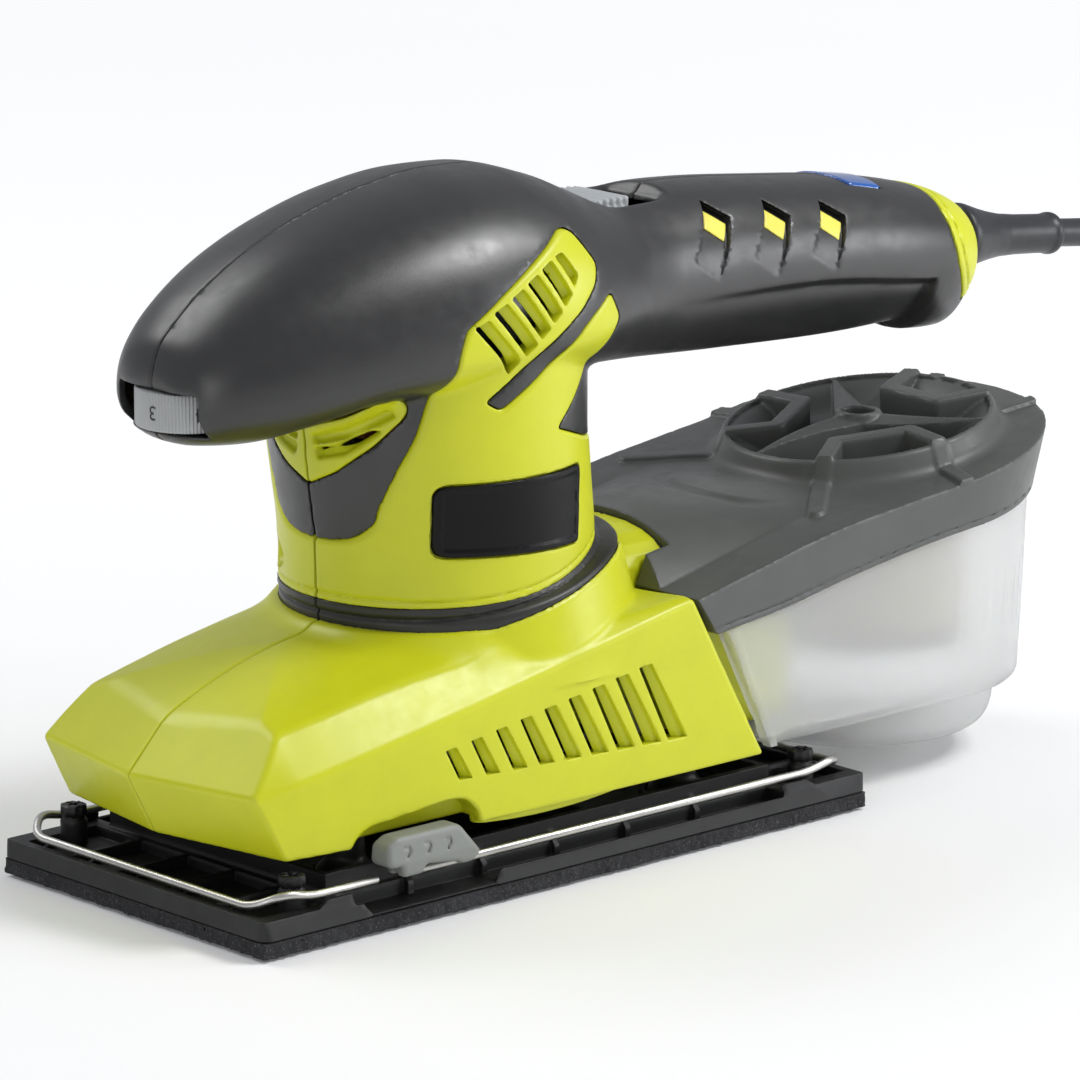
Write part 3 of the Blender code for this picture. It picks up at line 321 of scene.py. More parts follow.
def finish(name, colour, rough, grain=0.0, grain_size=0.45, mottle=0.06, wear=0.0, bevel=0.35, metallic=0.0,
           coat=0.0, transmission=0.0, speck=0.0, scatter=0.0, brushed=0.0, ior=1.46):
    """A procedural finish. Sizes are millimetres: grain is the height of the moulded texture."""
    made = bpy.data.materials.new(name)
    made.use_nodes = True
    tree = made.node_tree
    node, link = tree.nodes.new, tree.links.new
    surface = tree.nodes["Principled BSDF"]
    place = node("ShaderNodeTexCoord").outputs["Object"]

    def noise(size, detail=4.0, roughness=0.6, stretch=None):
        source = place
        if stretch:
            mapping = node("ShaderNodeMapping")
            give(mapping, {"Scale": stretch})
            link(place, mapping.inputs["Vector"])
            source = mapping.outputs["Vector"]
        made_noise = node("ShaderNodeTexNoise")
        give(made_noise, {"Scale": 1.0 / (size * MM), "Detail": detail, "Roughness": roughness})
        link(source, made_noise.inputs["Vector"])
        return made_noise.outputs["Fac"]

    def spread(value, low, high, start=0.3, end=0.7):
        ramp = node("ShaderNodeMapRange")
        give(ramp, {"From Min": start, "From Max": end, "To Min": low, "To Max": high})
        link(value, ramp.inputs["Value"])
        return ramp.outputs["Result"]

    def mixed(factor, first, second):
        mix = node("ShaderNodeMix")
        mix.data_type = "RGBA"
        for socket, value in ((0, factor), (6, first), (7, second)):
            if isinstance(value, (tuple, list, float)):
                mix.inputs[socket].default_value = value
            else:
                link(value, mix.inputs[socket])
        return mix.outputs[2]

    base = tuple(colour) + (1.0,)
    darker = tuple(c * (1 - mottle * 1.6) for c in colour) + (1.0,)
    lighter = tuple(min(1.0, c * (1 + mottle)) for c in colour) + (1.0,)
    tone = mixed(spread(noise(14.0, 3.0), 0.0, 1.0), darker, lighter)
    tone = mixed(spread(noise(grain_size * 2.2, 2.0), 0.0, 0.35), tone, base)
    if speck:
        dots = spread(noise(0.55, 1.0, 0.5), 0.0, speck, 0.60, 0.72)
        tone = mixed(dots, tone, tuple(min(1.0, c * 4 + 0.08) for c in colour) + (1.0,))
    if wear:
        shape = node("ShaderNodeNewGeometry").outputs["Pointiness"]
        patchy = node("ShaderNodeMath")
        patchy.operation = "MULTIPLY"
        link(spread(shape, 0.0, wear, 0.53, 0.62), patchy.inputs[0])
        link(spread(noise(3.0, 6.0, 0.7), 0.15, 1.0, 0.4, 0.7), patchy.inputs[1])
        pale = tuple(c * 0.55 + 0.38 * max(colour) + 0.04 for c in colour) + (1.0,)
        tone = mixed(patchy.outputs[0], tone, pale)
    link(tone, surface.inputs["Base Color"])
    streaks = noise(0.5, 3.0, 0.7, (0.02, 1.0, 1.0)) if brushed else noise(5.0, 5.0, 0.65)
    link(spread(streaks, rough * 0.86, min(1.0, rough * 1.16 + brushed)), surface.inputs["Roughness"])

    rounder = node("ShaderNodeBevel")
    rounder.samples = 4
    give(rounder, {"Radius": bevel * MM})
    bump = node("ShaderNodeBump")
    give(bump, {"Distance": max(grain, 0.004) * MM, "Strength": 0.8})
    link(noise(grain_size, 3.0, 0.65), bump.inputs["Height"])
    wave = node("ShaderNodeBump")
    give(wave, {"Distance": 0.05 * MM, "Strength": 0.5})
    link(noise(22.0, 2.0, 0.4), wave.inputs["Height"])
    if bevel:
        link(rounder.outputs["Normal"], wave.inputs["Normal"])
    link(wave.outputs["Normal"], bump.inputs["Normal"])
    link(bump.outputs["Normal"], surface.inputs["Normal"])

    give(surface, {"Metallic": metallic, "IOR": ior, "Coat Weight": coat, "Coat Roughness": 0.12,
                   "Transmission Weight": transmission, "Subsurface Weight": scatter,
                   "Subsurface Radius": (1.0, 0.9, 0.4), "Subsurface Scale": 1.5 * MM})
    made.diffuse_color = base
    return made


LIME = finish("lime_moulding", (0.57, 0.60, 0.012), 0.34, grain=0.012, grain_size=0.5, mottle=0.03,
              wear=0.25, scatter=0.08)
GRIP = finish("soft_touch_grip", (0.015, 0.015, 0.015), 0.35, grain=0.02, grain_size=0.32, mottle=0.08,
              wear=0.18, ior=1.62)
RING = finish("neck_rubber", (0.024, 0.024, 0.021), 0.40, grain=0.008, mottle=0.1, wear=0.15)
LID = finish("lid_moulding", (0.090, 0.094, 0.090), 0.42, grain=0.03, grain_size=0.55, mottle=0.07,
             wear=0.3)
BLACK = finish("black_moulding", (0.007, 0.007, 0.0075), 0.48, grain=0.012, mottle=0.15, wear=0.2)
PLATE = finish("side_plate_satin", (0.004, 0.004, 0.0045), 0.36, grain=0.003, mottle=0.05, coat=0.04,
               ior=1.25)
FOAM = finish("pad_foam", (0.022, 0.022, 0.024), 0.95, grain=0.35, grain_size=0.7, mottle=0.3, speck=0.35,
              bevel=0.0)
LEVER = finish("lever_moulding", (0.215, 0.225, 0.21), 0.42, grain=0.01, mottle=0.05, wear=0.3)
STEEL = finish("steel_wire", (0.52, 0.51, 0.49), 0.26, grain=0.004, mottle=0.12, metallic=1.0, brushed=0.15)
MACHINED = finish("machined_steel", (0.50, 0.50, 0.51), 0.32, grain=0.01, mottle=0.1, metallic=1.0,
                  brushed=0.2)
LAMINATION = finish("core_laminations", (0.22, 0.22, 0.23), 0.5, grain=0.05, grain_size=0.6, mottle=0.2,
                    metallic=0.9)
COPPER = finish("enamelled_copper", (0.72, 0.28, 0.12), 0.3, grain=0.05, grain_size=0.5, mottle=0.2,
                metallic=1.0)
CARBON = finish("pressed_carbon", (0.025, 0.025, 0.027), 0.7, grain=0.03, mottle=0.3)
YELLOW = finish("yellow_insert", (0.80, 0.72, 0.10), 0.35, grain=0.006, mottle=0.04, scatter=0.1)
LENS = finish("blue_lens", (0.003, 0.12, 0.52), 0.12, grain=0.004, mottle=0.2, coat=0.8, transmission=0.25)
DRUM = finish("dial_moulding", (0.42, 0.43, 0.43), 0.38, grain=0.006, mottle=0.04)
PRINT = finish("print_ink", (0.02, 0.02, 0.022), 0.5, grain=0.002, mottle=0.1, bevel=0.0)
SLIDER = finish("slider_moulding", (0.40, 0.42, 0.43), 0.35, grain=0.008, mottle=0.05, wear=0.2)
CABLE = finish("cord_rubber", (0.018, 0.019, 0.022), 0.38, grain=0.01, mottle=0.15)
FROST = finish("frosted_bin", (0.97, 0.975, 0.97), 0.44, grain=0.02, grain_size=0.8, mottle=0.01,
               transmission=0.76, scatter=0.1, ior=1.2, bevel=0.0)
PAPER = finish("filter_paper", (0.80, 0.76, 0.64), 0.9, grain=0.06, grain_size=0.6, mottle=0.1, bevel=0.0)


# ---- upper housing ----
grip_top = smooth_curve([
    (-84.5, 124.5), (-82, 128.8), (-77, 133.6), (-71.1, 138.4), (-55.7, 147), (-39.1, 152.9),
    (-22.3, 156.9), (-5.3, 158.9), (7.6, 158.5), (20.7, 155.2), (32, 150.6), (44, 147.4), (64.3, 147.3),
    (75.3, 146.8), (101.2, 144.3), (126.5, 141.3), (149, 136.6), (158, 133), (164, 127)])
grip_bottom = smooth_curve([
    (-84.5, 108.4), (-77.7, 106), (-68, 105.2), (-56, 106.8), (-40, 110), (10, 110), (42, 108.2),
    (80, 105.8), (124, 104.2), (139.5, 104.4), (144.5, 101.6), (154, 101), (159, 105.5), (164, 112.5)])
grip_half = smooth_curve([
    (-84.5, 11), (-82, 15.5), (-77, 20.5), (-70, 24.6), (-60, 28.8), (-45, 33.2), (-30, 36.2), (-15, 38),
    (0, 38.3), (14, 36.6), (28, 32), (42, 26.6), (56, 23.6), (80, 22.6), (124, 22), (146, 20), (158, 16),
    (164, 10.5)])
grip_widest = smooth_curve([
    (-84.5, 116), (-60, 119), (-20, 123), (20, 125), (60, 125.6), (120, 123), (164, 119.5)])
neck_middle = smooth_curve([(60, -1.5), (76, -1.9), (88, -3.2), (101, -4.4), (118, -4.4)])
neck_radius = smooth_curve([(60, 36.1), (76, 36.1), (88, 36.3), (101, 36.6), (118, 36.6)])
ring_low = smooth_curve([
    (-40, 57), (-27, 57.7), (-18, 59.2), (-7, 62), (4.3, 65.1), (15.8, 68.4), (24, 70.3), (41, 72.2)])
ring_top = smooth_curve([
    (-40, 64.3), (-30, 64.5), (-18, 65), (-7, 66), (3, 67.8), (11, 69.8), (19, 72), (26, 73.4), (41, 75.2)])
undercut = smooth_curve([(40, 124.4), (79.5, 123.4), (99.8, 122.6), (141, 117.6), (160, 116)])


def grip_field(x, y, z):
    half, widest = grip_half(x), grip_widest(x)
    above = z > widest
    reach = np.where(above, grip_top(x) - widest, widest - grip_bottom(x))
    a = 2 / 0.88
    b = np.where(above, a, 2)
    u = most(np.abs(y) / half, 1e-4)
    v = most(np.abs(z - widest) / reach, 1e-4)
    total = u**a + v**b
    value = np.sqrt(total)
    slope = np.hypot(a * u ** (a - 1) / half, b * v ** (b - 1) / reach) / (2 * value)
    skin = (value - 1) / most(slope, 1 / most(half, reach))
    belly = ease((undercut(x) - z) / 2.2) * ease((x - 44) / 70) * ease((141.6 - x) / 1.6)
    skin = skin + 2 * belly * ease((u - 0.25) / 0.5)
    return blend_max(skin, most(-84.5 - x, x - 164), 4)


def neck_field(x, y, z):
    return np.hypot(x - neck_middle(z), y) - neck_radius(z)


def upper_field(x, y, z):
    soft = 1.5 + 9 * ease(1 - np.abs(y) / 30)
    neck = blend_max(neck_field(x, y, z), z - 124, 2)
    return blend_max(blend_min(grip_field(x, y, z), neck, soft), ring_top(x) + 0.15 - z, 0.5)


lime_zone = zone(round_corners([
    (-48, 58), (-48, 76.6), (-40, 76.8), (-36.2, 79.3), (-34.4, 83.3), (-33.8, 90.3), (-32.4, 97.6),
    (-30, 104.3), (-28, 113), (-26.4, 123.7), (-24.4, 129.1), (-12.4, 136.2), (-2.2, 141.6),
    (8.8, 147.2), (12.4, 146.4), (17.2, 138.6), (15.2, 134.4), (9.7, 129.6), (-3.2, 121.9),
    (-17.2, 111.6), (-13.5, 109.4), (-5.2, 114.6), (5.4, 121.5), (12.7, 126.9), (20.9, 131.6),
    (24.6, 125.6), (18, 115.8), (10.2, 108.6), (3.2, 103.1), (17, 98.4), (48, 92), (48, 58)], 1.6))
chin_zone = zone(round_corners([
    (-12, 91.1), (0, 91.1), (9, 94.9), (19, 101.7), (26.4, 108.6), (27.4, 111.4), (24.5, 114),
    (12.9, 108.2), (0, 104.2), (-12, 104.2)], 1.8))
chin_louvres = [zone(round_corners(o, 0.8)) for o in (
    [(2.6, 102.6), (12, 105.4), (22.6, 110.4), (24.4, 109.2), (14, 103.6), (3.4, 100.9)],
    [(3, 99.8), (9, 101), (18.5, 105.2), (21, 105.4), (12, 99.6), (4, 97.6)])]
collar_zone = zone([
    (149.2, 142), (146.2, 131.5), (147.2, 125.4), (149, 119.6), (151.8, 114), (154.5, 109.5), (180, 109.5),
    (180, 142)])
badge_zone = zone(round_corners([
    (-27, 91.4), (-25.4, 93), (12.4, 93.3), (11, 75.6), (-25.2, 76.4), (-26.4, 77.8)], 1.6))
NECK_SLOTS = [
    [(-22.6, 129.4), (-18.6, 131), (-9.4, 120.6), (-11.9, 117.6)],
    [(-17.2, 132.2), (-13, 134), (-4.9, 123.9), (-8.2, 121.4)],
    [(-11.6, 134.8), (-7.8, 136.6), (-1, 126.9), (-3.9, 124.8)],
    [(-6.4, 137.4), (-2.8, 139.1), (2.8, 130.1), (-0.1, 127.9)],
    [(-1.4, 139.8), (2.2, 141.5), (6.6, 133.6), (3.7, 131.1)],
    [(3.6, 142.1), (6.4, 142.6), (9.6, 137.4), (7.6, 134.9)]]
neck_slots = [zone(round_corners(o, 0.7)) for o in NECK_SLOTS]
vent_patch = zone([(-26, 130.5), (7, 146.5), (13.5, 138), (-11, 114)])
POCKETS = [((71, 142), (62, 129.4)), ((90.2, 140), (81.6, 127.9)), ((108.2, 137.7), (100.6, 126.6))]
lens_zone = zone(round_corners([
    (120.8, -9.6), (130.6, -10.8), (131.4, 0), (130.6, 10.8), (120.8, 9.6), (120.2, 0)], 1.2))


def neck_angle_mm(x, y):
    """Distance round the neck from its front, in millimetres of arc."""
    return np.arctan2(np.abs(y), -4.4 - x) * 37


def across_slot(outline, x, z):
    """0 at a slanted slot's left edge and 1 at its right edge."""
    (ax, az), (bx, bz), _, (dx, dz) = outline
    downx, downz = dx - ax, dz - az
    length = math.hypot(downx, downz)
    nx, nz = -downz / length, downx / length
    width = (bx - ax) * nx + (bz - az) * nz
    return ((x - ax) * nx + (z - az) * nz) / width


def along(x, z, start, end):
    """Distance along and beside the line from start to end, and the line's length."""
    (ax, az), (bx, bz) = start, end
    length = math.hypot(bx - ax, bz - az)
    dx, dz = (bx - ax) / length, (bz - az) / length
    return (x - ax) * dx + (z - az) * dz, np.abs((x - ax) * dz - (z - az) * dx), length


def upper_screw(skin, x, y, z, centre, seat):
    """The screw's counterbore in the right half."""
    hole = most(cylinder(x, z, centre, 3.5), seat - y)
    return cut(skin, hole, 0.5)


def hollowed(skin, wall):
    return most(skin, -(skin + wall))


def half_of(skin, y, side, gap=SEAM):
    """Keep one side of the middle plane."""
    return blend_max(skin, gap - side * y, 0.5)


def grip_shell(side):
    def field(x, y, z):
        outer = upper_field(x, y, z)
        skin = hollowed(outer, WALL + 1.2 * ease(least(x - 52, 116 - x) / 4))
        for start, end in POCKETS:
            run, lateral, length = along(x, z, start, end)
            t = run / length
            pocket = most(lateral - 3.5 - 1 * t, np.abs(t - 0.5) * length - length * 0.5)
            skin = cut(skin, most(pocket, -(outer + 1.9 * np.clip(1.06 - t, 0, 1))), 0.3)
        scoop = box_field(x, y, z - 0.10 * (x - 47), (31, -12.6, 143), (62.4, 12.6, 175), 5)
        skin = cut(skin, scoop, 1.2)
        skin = cut(skin, box_field(x, y, z, (35, -9.5, 130), (59.4, 9.5, 150), 2), 0.5)
        skin = cut(skin, most(lens_zone(x, y) - 0.25, 132.4 - z), 0.3)
        dial = most(cylinder(x, y, DIAL, 13.1), np.abs(z - 114.25) - 4.75)
        window = box_field(x, y, z, (-99, -13.6, 109.4), (-75.6, 13.6, 119.1), 1.2)
        skin = cut(skin, least(dial, window), 0.8)
        skin = blend_max(skin, 0.25 - lime_zone(x, z), 0.5)
        chin = most(chin_zone(neck_angle_mm(x, y), z) - 0.25, np.abs(neck_field(x, y, z)) - 6)
        chin = most(chin, x + 8)
        skin = cut(skin, chin, 0.5)
        skin = blend_max(skin, 0.25 - collar_zone(x, z), 0.5)
        if side > 0:
            skin = upper_screw(skin, x, y, z, (132, 112.5), 9)
            skin = upper_screw(skin, x, y, z, (-56, 135), 12)
        wide = SEAM + 0.2 * (ease((-20 - x) / 10) * ease((112 - z) / 6))
        return half_of(skin, y, side, wide)
    return field


def neck_shell(side):
    def field(x, y, z):
        outer = upper_field(x, y, z) - 0.25
        thick = WALL + 2.6 * ease(-vent_patch(x, z) / 2)
        skin = most(outer, -(outer + thick))
        for outline, slot in zip(NECK_SLOTS, neck_slots):
            s = across_slot(outline, x, z)
            inside = slot(x, z)
            skin = carve(skin, inside, 4 - 2.6 * np.clip(s, 0, 1), 0.3)
            gap = most(inside + 0.15, (s - 0.2) * 3)
            skin = most(skin, -gap)
        skin = carve(skin, badge_zone(x, z) - 0.35, 0.95, 0.4)
        skin = blend_max(skin, lime_zone(x, z), 1)
        groove = np.hypot(z - ring_top(x) - 1.6, outer) - 0.35
        skin = cut(skin, groove, 0.3)
        if side > 0:
            skin = upper_screw(skin, x, y, z, (-31.2, 70.5), 9)
            skin = upper_screw(skin, x, y, z, (31, 70.5), 9)
        return half_of(skin, y, side, SEAM + 0.2 * ease((-20 - x) / 10))
    return field


def chin_guard(x, y, z):
    arc = neck_angle_mm(x, y)
    outer = upper_field(x, y, z) + 0.1
    skin = most(outer, -(outer + 4.4))
    for louvre in chin_louvres:
        skin = carve(skin, louvre(arc, z), 1.7, 1.2)
    skin = blend_max(skin, chin_zone(arc, z), 0.8)
    skin = most(skin, x + 10)
    return half_of(skin, y, -1, 0.34)


def end_collar(x, y, z):
    outer = upper_field(x, y, z) - 0.2
    skin = hollowed(outer, WALL + 0.2)
    skin = blend_max(skin, collar_zone(x, z), 0.9)
    skin = blend_max(skin, -np.hypot(collar_zone(x, z) + 2.6, outer) + 0.42, 0.3)
    reach = (x - 164) * -0.1 + z - 121.3
    return blend_max(skin, 6 - np.hypot(y, reach), 0.5)


def both_sides(name, maker, low, high, cell, material, slot, node, handed=False):
    """Sculpt a left and a right piece. A maker that isn't handed gives the left one, and it is mirrored."""
    def made(side):
        near, far = sorted((0, side * high[1]))
        field = maker(side) if handed else maker
        return sculpt(field, (low[0], near, low[2]), (high[0], far, high[2]), cell)

    left = made(-1)
    object_from(f"left_{name}", *left, material, "housing", (f"left_{node}",), slot)
    object_from(f"right_{name}", *(made(1) if handed else mirrored(*left)), material, "housing",
                (f"right_{node}",), slot)


both_sides("grip_moulding", grip_shell, (-85, 0, 64), (165, 39, 160), 0.8, GRIP, "grip_grey", "grip_shell",
           handed=True)
both_sides("neck_moulding", neck_shell, (-44, 0, 64), (40, 39, 152), 0.55, LIME, "lime", "neck_housing",
           handed=True)
both_sides("chin_moulding", chin_guard, (-44, 0, 89), (-10, 39, 116), 0.5, LIME, "lime", "chin_guard")
object_from("end_collar_moulding", *sculpt(end_collar, (144, -25, 106), (166, 25, 142), 0.6), LIME,
            "housing", ("handle_end_collar",), "lime")


# ---- side fittings ----
def side_plate(x, y, z):
    outer = neck_field(x, y, z)
    border = badge_zone(x, z) + 1.5
    skin = most(outer - 0.35 - 0.3 * ease((border + 0.3) / 0.5), -(outer + 0.5))
    skin = blend_max(skin, badge_zone(x, z), 0.5)
    return most(skin, y + 8)


def grip_insert(x, y, z):
    outer = upper_field(x, y, z)
    skin = np.full(x.shape, 1e3)
    for start, end in POCKETS:
        run, lateral, _ = along(x, z, start, end)
        tile = most(lateral - 3, np.abs(run - 4.3) - 2.2)
        skin = least(skin, tile)
    skin = blend_max(skin, most(outer + 0.85, -(outer + 2.6)), 0.4)
    return most(skin, y + 9)


def lens(x, y, z):
    outer = upper_field(x, y, z) - 0.35
    return blend_max(most(outer, -(outer + 3)), lens_zone(x, y), 0.8)


both_sides("side_plate_moulding", side_plate, (-30, 0, 72), (16, 39, 97), 0.45 / COARSER, PLATE,
           "black_moulding", "side_plate")
both_sides("grip_insert_tiles", grip_insert, (58, 0, 120), (114, 26, 145), 0.45 / COARSER, YELLOW,
           "yellow_insert", "grip_insert")
object_from("indicator_lens_moulding", *sculpt(lens, (120, -13, 133), (133, 13, 145), 0.4), LENS,
            "housing", ("indicator_lens",), "blue_lens")


# ---- turned pieces ----
def revolve(profile, sides, origin=(0, 0, 0), way=(0, 0, 1)):
    """Corners and faces of a closed (radius, height) profile turned about an axis."""
    up = Vector(way).normalized()
    side = up.orthogonal().normalized() if abs(up.z) < 0.99 else Vector((1, 0, 0))
    other = up.cross(side)
    corners = []
    for i in range(sides):
        a = math.radians(360 * i / sides)
        ray = side * math.cos(a) + other * math.sin(a)
        corners += [tuple(Vector(origin) + ray * r + up * h) for r, h in profile]
    return corners, ring_quads(sides, len(profile), True)


def turned_object(name, profile, sides, material, body, stands_for, slot, **place):
    """A turned piece with its faces made to point outwards."""
    return listed_object(name, *revolve(profile, sides, **place), material, body, stands_for, slot, 30,
                         True)


def neck_ring(x, y, z):
    """The rubber ring: an outer bead, a groove and an inner lip, rising towards the rear."""
    low, top = ring_low(x), ring_top(x)
    t = (z - low) / (top - low)
    share = ease((t - 0.15) / 0.75)
    wide = np.hypot(x - RING_X, y) - 38.9
    tight = neck_field(x, y, z) - 0.5
    skin = wide * (1 - share) + tight * share
    skin = skin + 0.75 * np.exp(-((t - 0.60) / 0.10) ** 2) + 0.2 * np.exp(-((t - 0.88) / 0.06) ** 2)
    skin = most(blend_max(skin * 0.35, z - top, 0.5), low - 3 - z)
    return half_of(most(skin, 34 - np.hypot(x + 1.5, y)), y, -1)


both_sides("neck_ring_rubber", neck_ring, (-38, 0, 54), (42, 42, 76), 0.5, RING, "ring_rubber", "neck_ring")


# ---- lower housing ----
skirt_half = smooth_curve([
    (-93, 37.2), (-79.4, 38), (-70, 39.3), (-50, 41.3), (-30, 42.8), (-5, 43.2), (20, 43.4), (62, 43.5)])
crease_half = smooth_curve([
    (-93, 36.8), (-87.5, 37.3), (-76, 40), (-55, 42), (-30, 43.2), (-8, 43.6), (10, 43.8), (62, 43.4)])
crease_level = smooth_curve([
    (-93, 33.2), (-87.5, 33.7), (-76, 36), (-55, 40.3), (-30, 45.3), (-8, 49.8), (10, 53.4), (26, 56.7),
    (38.5, 59.2), (62, 63.5)])
shoulder_half = smooth_curve([
    (-93, 31.4), (-76, 32.1), (-67, 33), (-50, 34), (-30, 35.5), (-10, 37), (8, 39), (24, 40.5),
    (37.5, 41.5), (62, 42.4)])
shoulder_level = smooth_curve([
    (-93, 42), (-76, 45.6), (-67, 47.3), (-50, 50.6), (-30, 53.4), (-10, 55.2), (8, 56.6), (24, 58.2),
    (37.5, 59.8), (62, 62.5)])
HUMP = [(21.5, 40), (21.5, 62.4), (20.6, 64.8), (17.6, 67), (13.6, 68.6), (8, 69.7)]
hump_zone = zone([(-y, z) for y, z in HUMP] + [(0, 70.1)] + HUMP[::-1])
BASE_SLOTS = 9


def base_slot(index):
    """One slanted slot of the row low on the side: foot wider than head."""
    t = index / (BASE_SLOTS - 1)
    top_x, top_z = -36.6 + t * 57.8, 36.7 + t * 9.2
    foot_x, foot_z = -32.6 + t * 63.4, 29.3 - t * 2.2
    return [(top_x, top_z), (top_x + 3 + t, top_z + 0.4), (foot_x + 3.8 + 2 * t, foot_z - 0.1),
            (foot_x, foot_z)]


base_slots = [(base_slot(i), zone(round_corners(base_slot(i), 0.4))) for i in range(BASE_SLOTS)]
slot_patch = zone([(-41, 40), (30, 50), (46, 24), (-36, 27)])
recess_zone = zone(round_corners([
    (-66, 8), (-61.2, 20), (-58, 22.6), (-36, 25.2), (-31, 25), (-26.8, 21.4), (-24.6, 8)], 2.2))


def plane_through(x, y, z, p, q, r):
    """Distance to the plane through three points, positive ahead of the nose."""
    p, q, r = Vector(p), Vector(q), Vector(r)
    n = (q - p).cross(r - p).normalized()
    if n.x > 0:
        n = -n
    return (x - p.x) * n.x + (y - p.y) * n.y + (z - p.z) * n.z


def facet(a, b, ya, za, yb, zb):
    """Distance in the (y, z) plane from the line through two points, positive away from the middle."""
    ey, ez = yb - ya, zb - za
    length = np.hypot(ey, ez)
    return ((a - ya) * ez - (b - za) * ey) / length


def base_outer(x, y, z):
    a = np.abs(y)
    ys, yc, zc = skirt_half(x), crease_half(x), crease_level(x)
    yh, zh = shoulder_half(x), shoulder_level(x)
    side = facet(a, z, ys, 18.4, yc, zc)
    bevel = facet(a, z, yc, zc, yh, zh)
    seat = np.hypot(x - 1, y) - 37.5
    edge = least(yh - a, x + 82)
    share = np.clip(edge, 0, None) / (np.clip(edge, 0, None) + most(seat, 0) + 0.01)
    top = zh + (57.6 - zh) * share + 0.6 * np.exp(-most(seat, 0) / 2.6)
    roof = (z - top) * 0.97
    nose_low = plane_through(x, -a, z, (-85.5, 0, 18.4), (-79.4, -38, 18.4), (-90.2, -18.7, 33.3))
    nose_high = plane_through(x, -a, z, (-93, 0, 33), (-87.5, -37.3, 33.7), (-78.2, -16, 46.2))
    rear = (x - 61.3 + (z - 18.4) * 0.559) * 0.873
    skin = blend_max(blend_max(side, bevel, 0.9), blend_max(nose_low, nose_high, 0.9), 0.9)
    skin = blend_max(skin, roof, 1.1)
    collar = (np.hypot(x - RING_X, y) - 39.7) * 0.968 + (z - ring_low(x)) * 0.225
    collar = most(blend_max(collar, z - ring_low(x), 1.2), 46 - z)
    skin = blend_min(skin, collar, 1 + 5 * ease((-8 - x) / 14))
    hump = most(hump_zone(y, z), x - 50, 20 - x)
    skin = blend_min(blend_max(skin, rear, 1.2), hump, 2.4)
    return blend_max(skin, 18.4 - z, 0.8)


def base_shell(side):
    def field(x, y, z):
        outer = base_outer(x, y, z)
        thick = 2.4 + 2.2 * ease(-slot_patch(x, z) / 2) * (np.abs(y) > 30)
        wall = most(outer, -(outer + thick))
        below = base_outer(x, y, most(z, 22)) + 2.4
        wall = np.where(z < 22, most(outer, -below), wall)
        for outline, slot in base_slots:
            s = across_slot(outline, x, z)
            inside = most(slot(x, z), 34 - np.abs(y))
            wall = carve(wall, inside, 3.9 - 2.6 * np.clip(s, 0, 1), 0.3)
            top, foot = outline[0][1], outline[3][1]
            dark = most(np.abs(s - 0.26) * 5 - 1, np.abs(top - z - 0.5 * (top - foot)) - 2.3)
            for tick in (0.76, 0.85):
                line = most(np.abs(s - 0.36) * 5 - 1.5, np.abs(top - z - tick * (top - foot)) - 0.28)
                dark = least(dark, line)
            wall = most(wall, -most(dark, inside))
        spigot = box_field(x, y, z, (40, -28, 20.9), (84, 28, 45.6), 2)
        channel = box_field(x, y, z, (20, -25.8, 23.1), (90, 25.8, 43.4), 1.5)
        skin = most(blend_min(wall, spigot, 0.8), -channel)
        lip = most(np.abs(np.abs(y) - 39.6) - 1, z - 20)
        lip = most(lip, 16.3 + 0.0028 * (x + 4) ** 2 - z)
        skin = blend_min(skin, most(lip, np.abs(x + 4) - 27), 0.6)
        seat = most(np.hypot(x - RING_X, y) - 39, ring_low(x) - 3.1 - z)
        skin = cut(skin, seat, 0.4)
        skin = most(skin, -most(np.hypot(x, y) - 31, 40 - z))
        recess = recess_zone(x * -side, z)
        backing = most(recess - 2.2, outer + 0.8, 33.6 - np.abs(y), 18.6 - z)
        skin = least(skin, backing)
        skin = cut(skin, most(recess, 36 + 0.42 * (z - 18.4) - np.abs(y)), 0.9)
        if side > 0:
            skin = upper_screw(skin, x, y, z, (-72, 32), 20)
        for leg in (-LEG[0] - ORBIT, LEG[0] - ORBIT):
            post = np.hypot(x - leg, np.abs(y) - LEG[1])
            sleeve = most(post - 8.6, 25 - z, outer + 0.5)
            skin = least(skin, sleeve)
            skin = most(skin, -most(post - 6.8, z - 33, 12 - z))
        return half_of(skin, y, side)
    return field


both_sides("base_moulding", base_shell, (-94, 0, 14), (85, 45, 74.5), 0.65, LIME, "lime", "base_housing",
           handed=True)


# ---- controls and cord ----
def digit(text, turn, level, height):
    """A raised numeral wrapped round the dial, as mesh corners in millimetres."""
    data = bpy.data.curves.new("numeral", "FONT")
    data.body = text
    data.size = height
    data.extrude = 0.05
    data.align_x = "CENTER"
    data.align_y = "CENTER"
    obj = added("numeral", data)
    bpy.context.view_layer.update()
    mesh = bpy.data.meshes.new_from_object(obj.evaluated_get(bpy.context.evaluated_depsgraph_get()))
    corners = []
    for vertex in mesh.vertices:
        a = math.radians(turn) - vertex.co.x / 12.5
        r = 12.48 + vertex.co.z
        corners.append((DIAL[0] - r * math.cos(a), -r * math.sin(a), level - vertex.co.y))
    faces = [list(f.vertices) for f in mesh.polygons]
    bpy.data.objects.remove(obj)
    return corners, faces


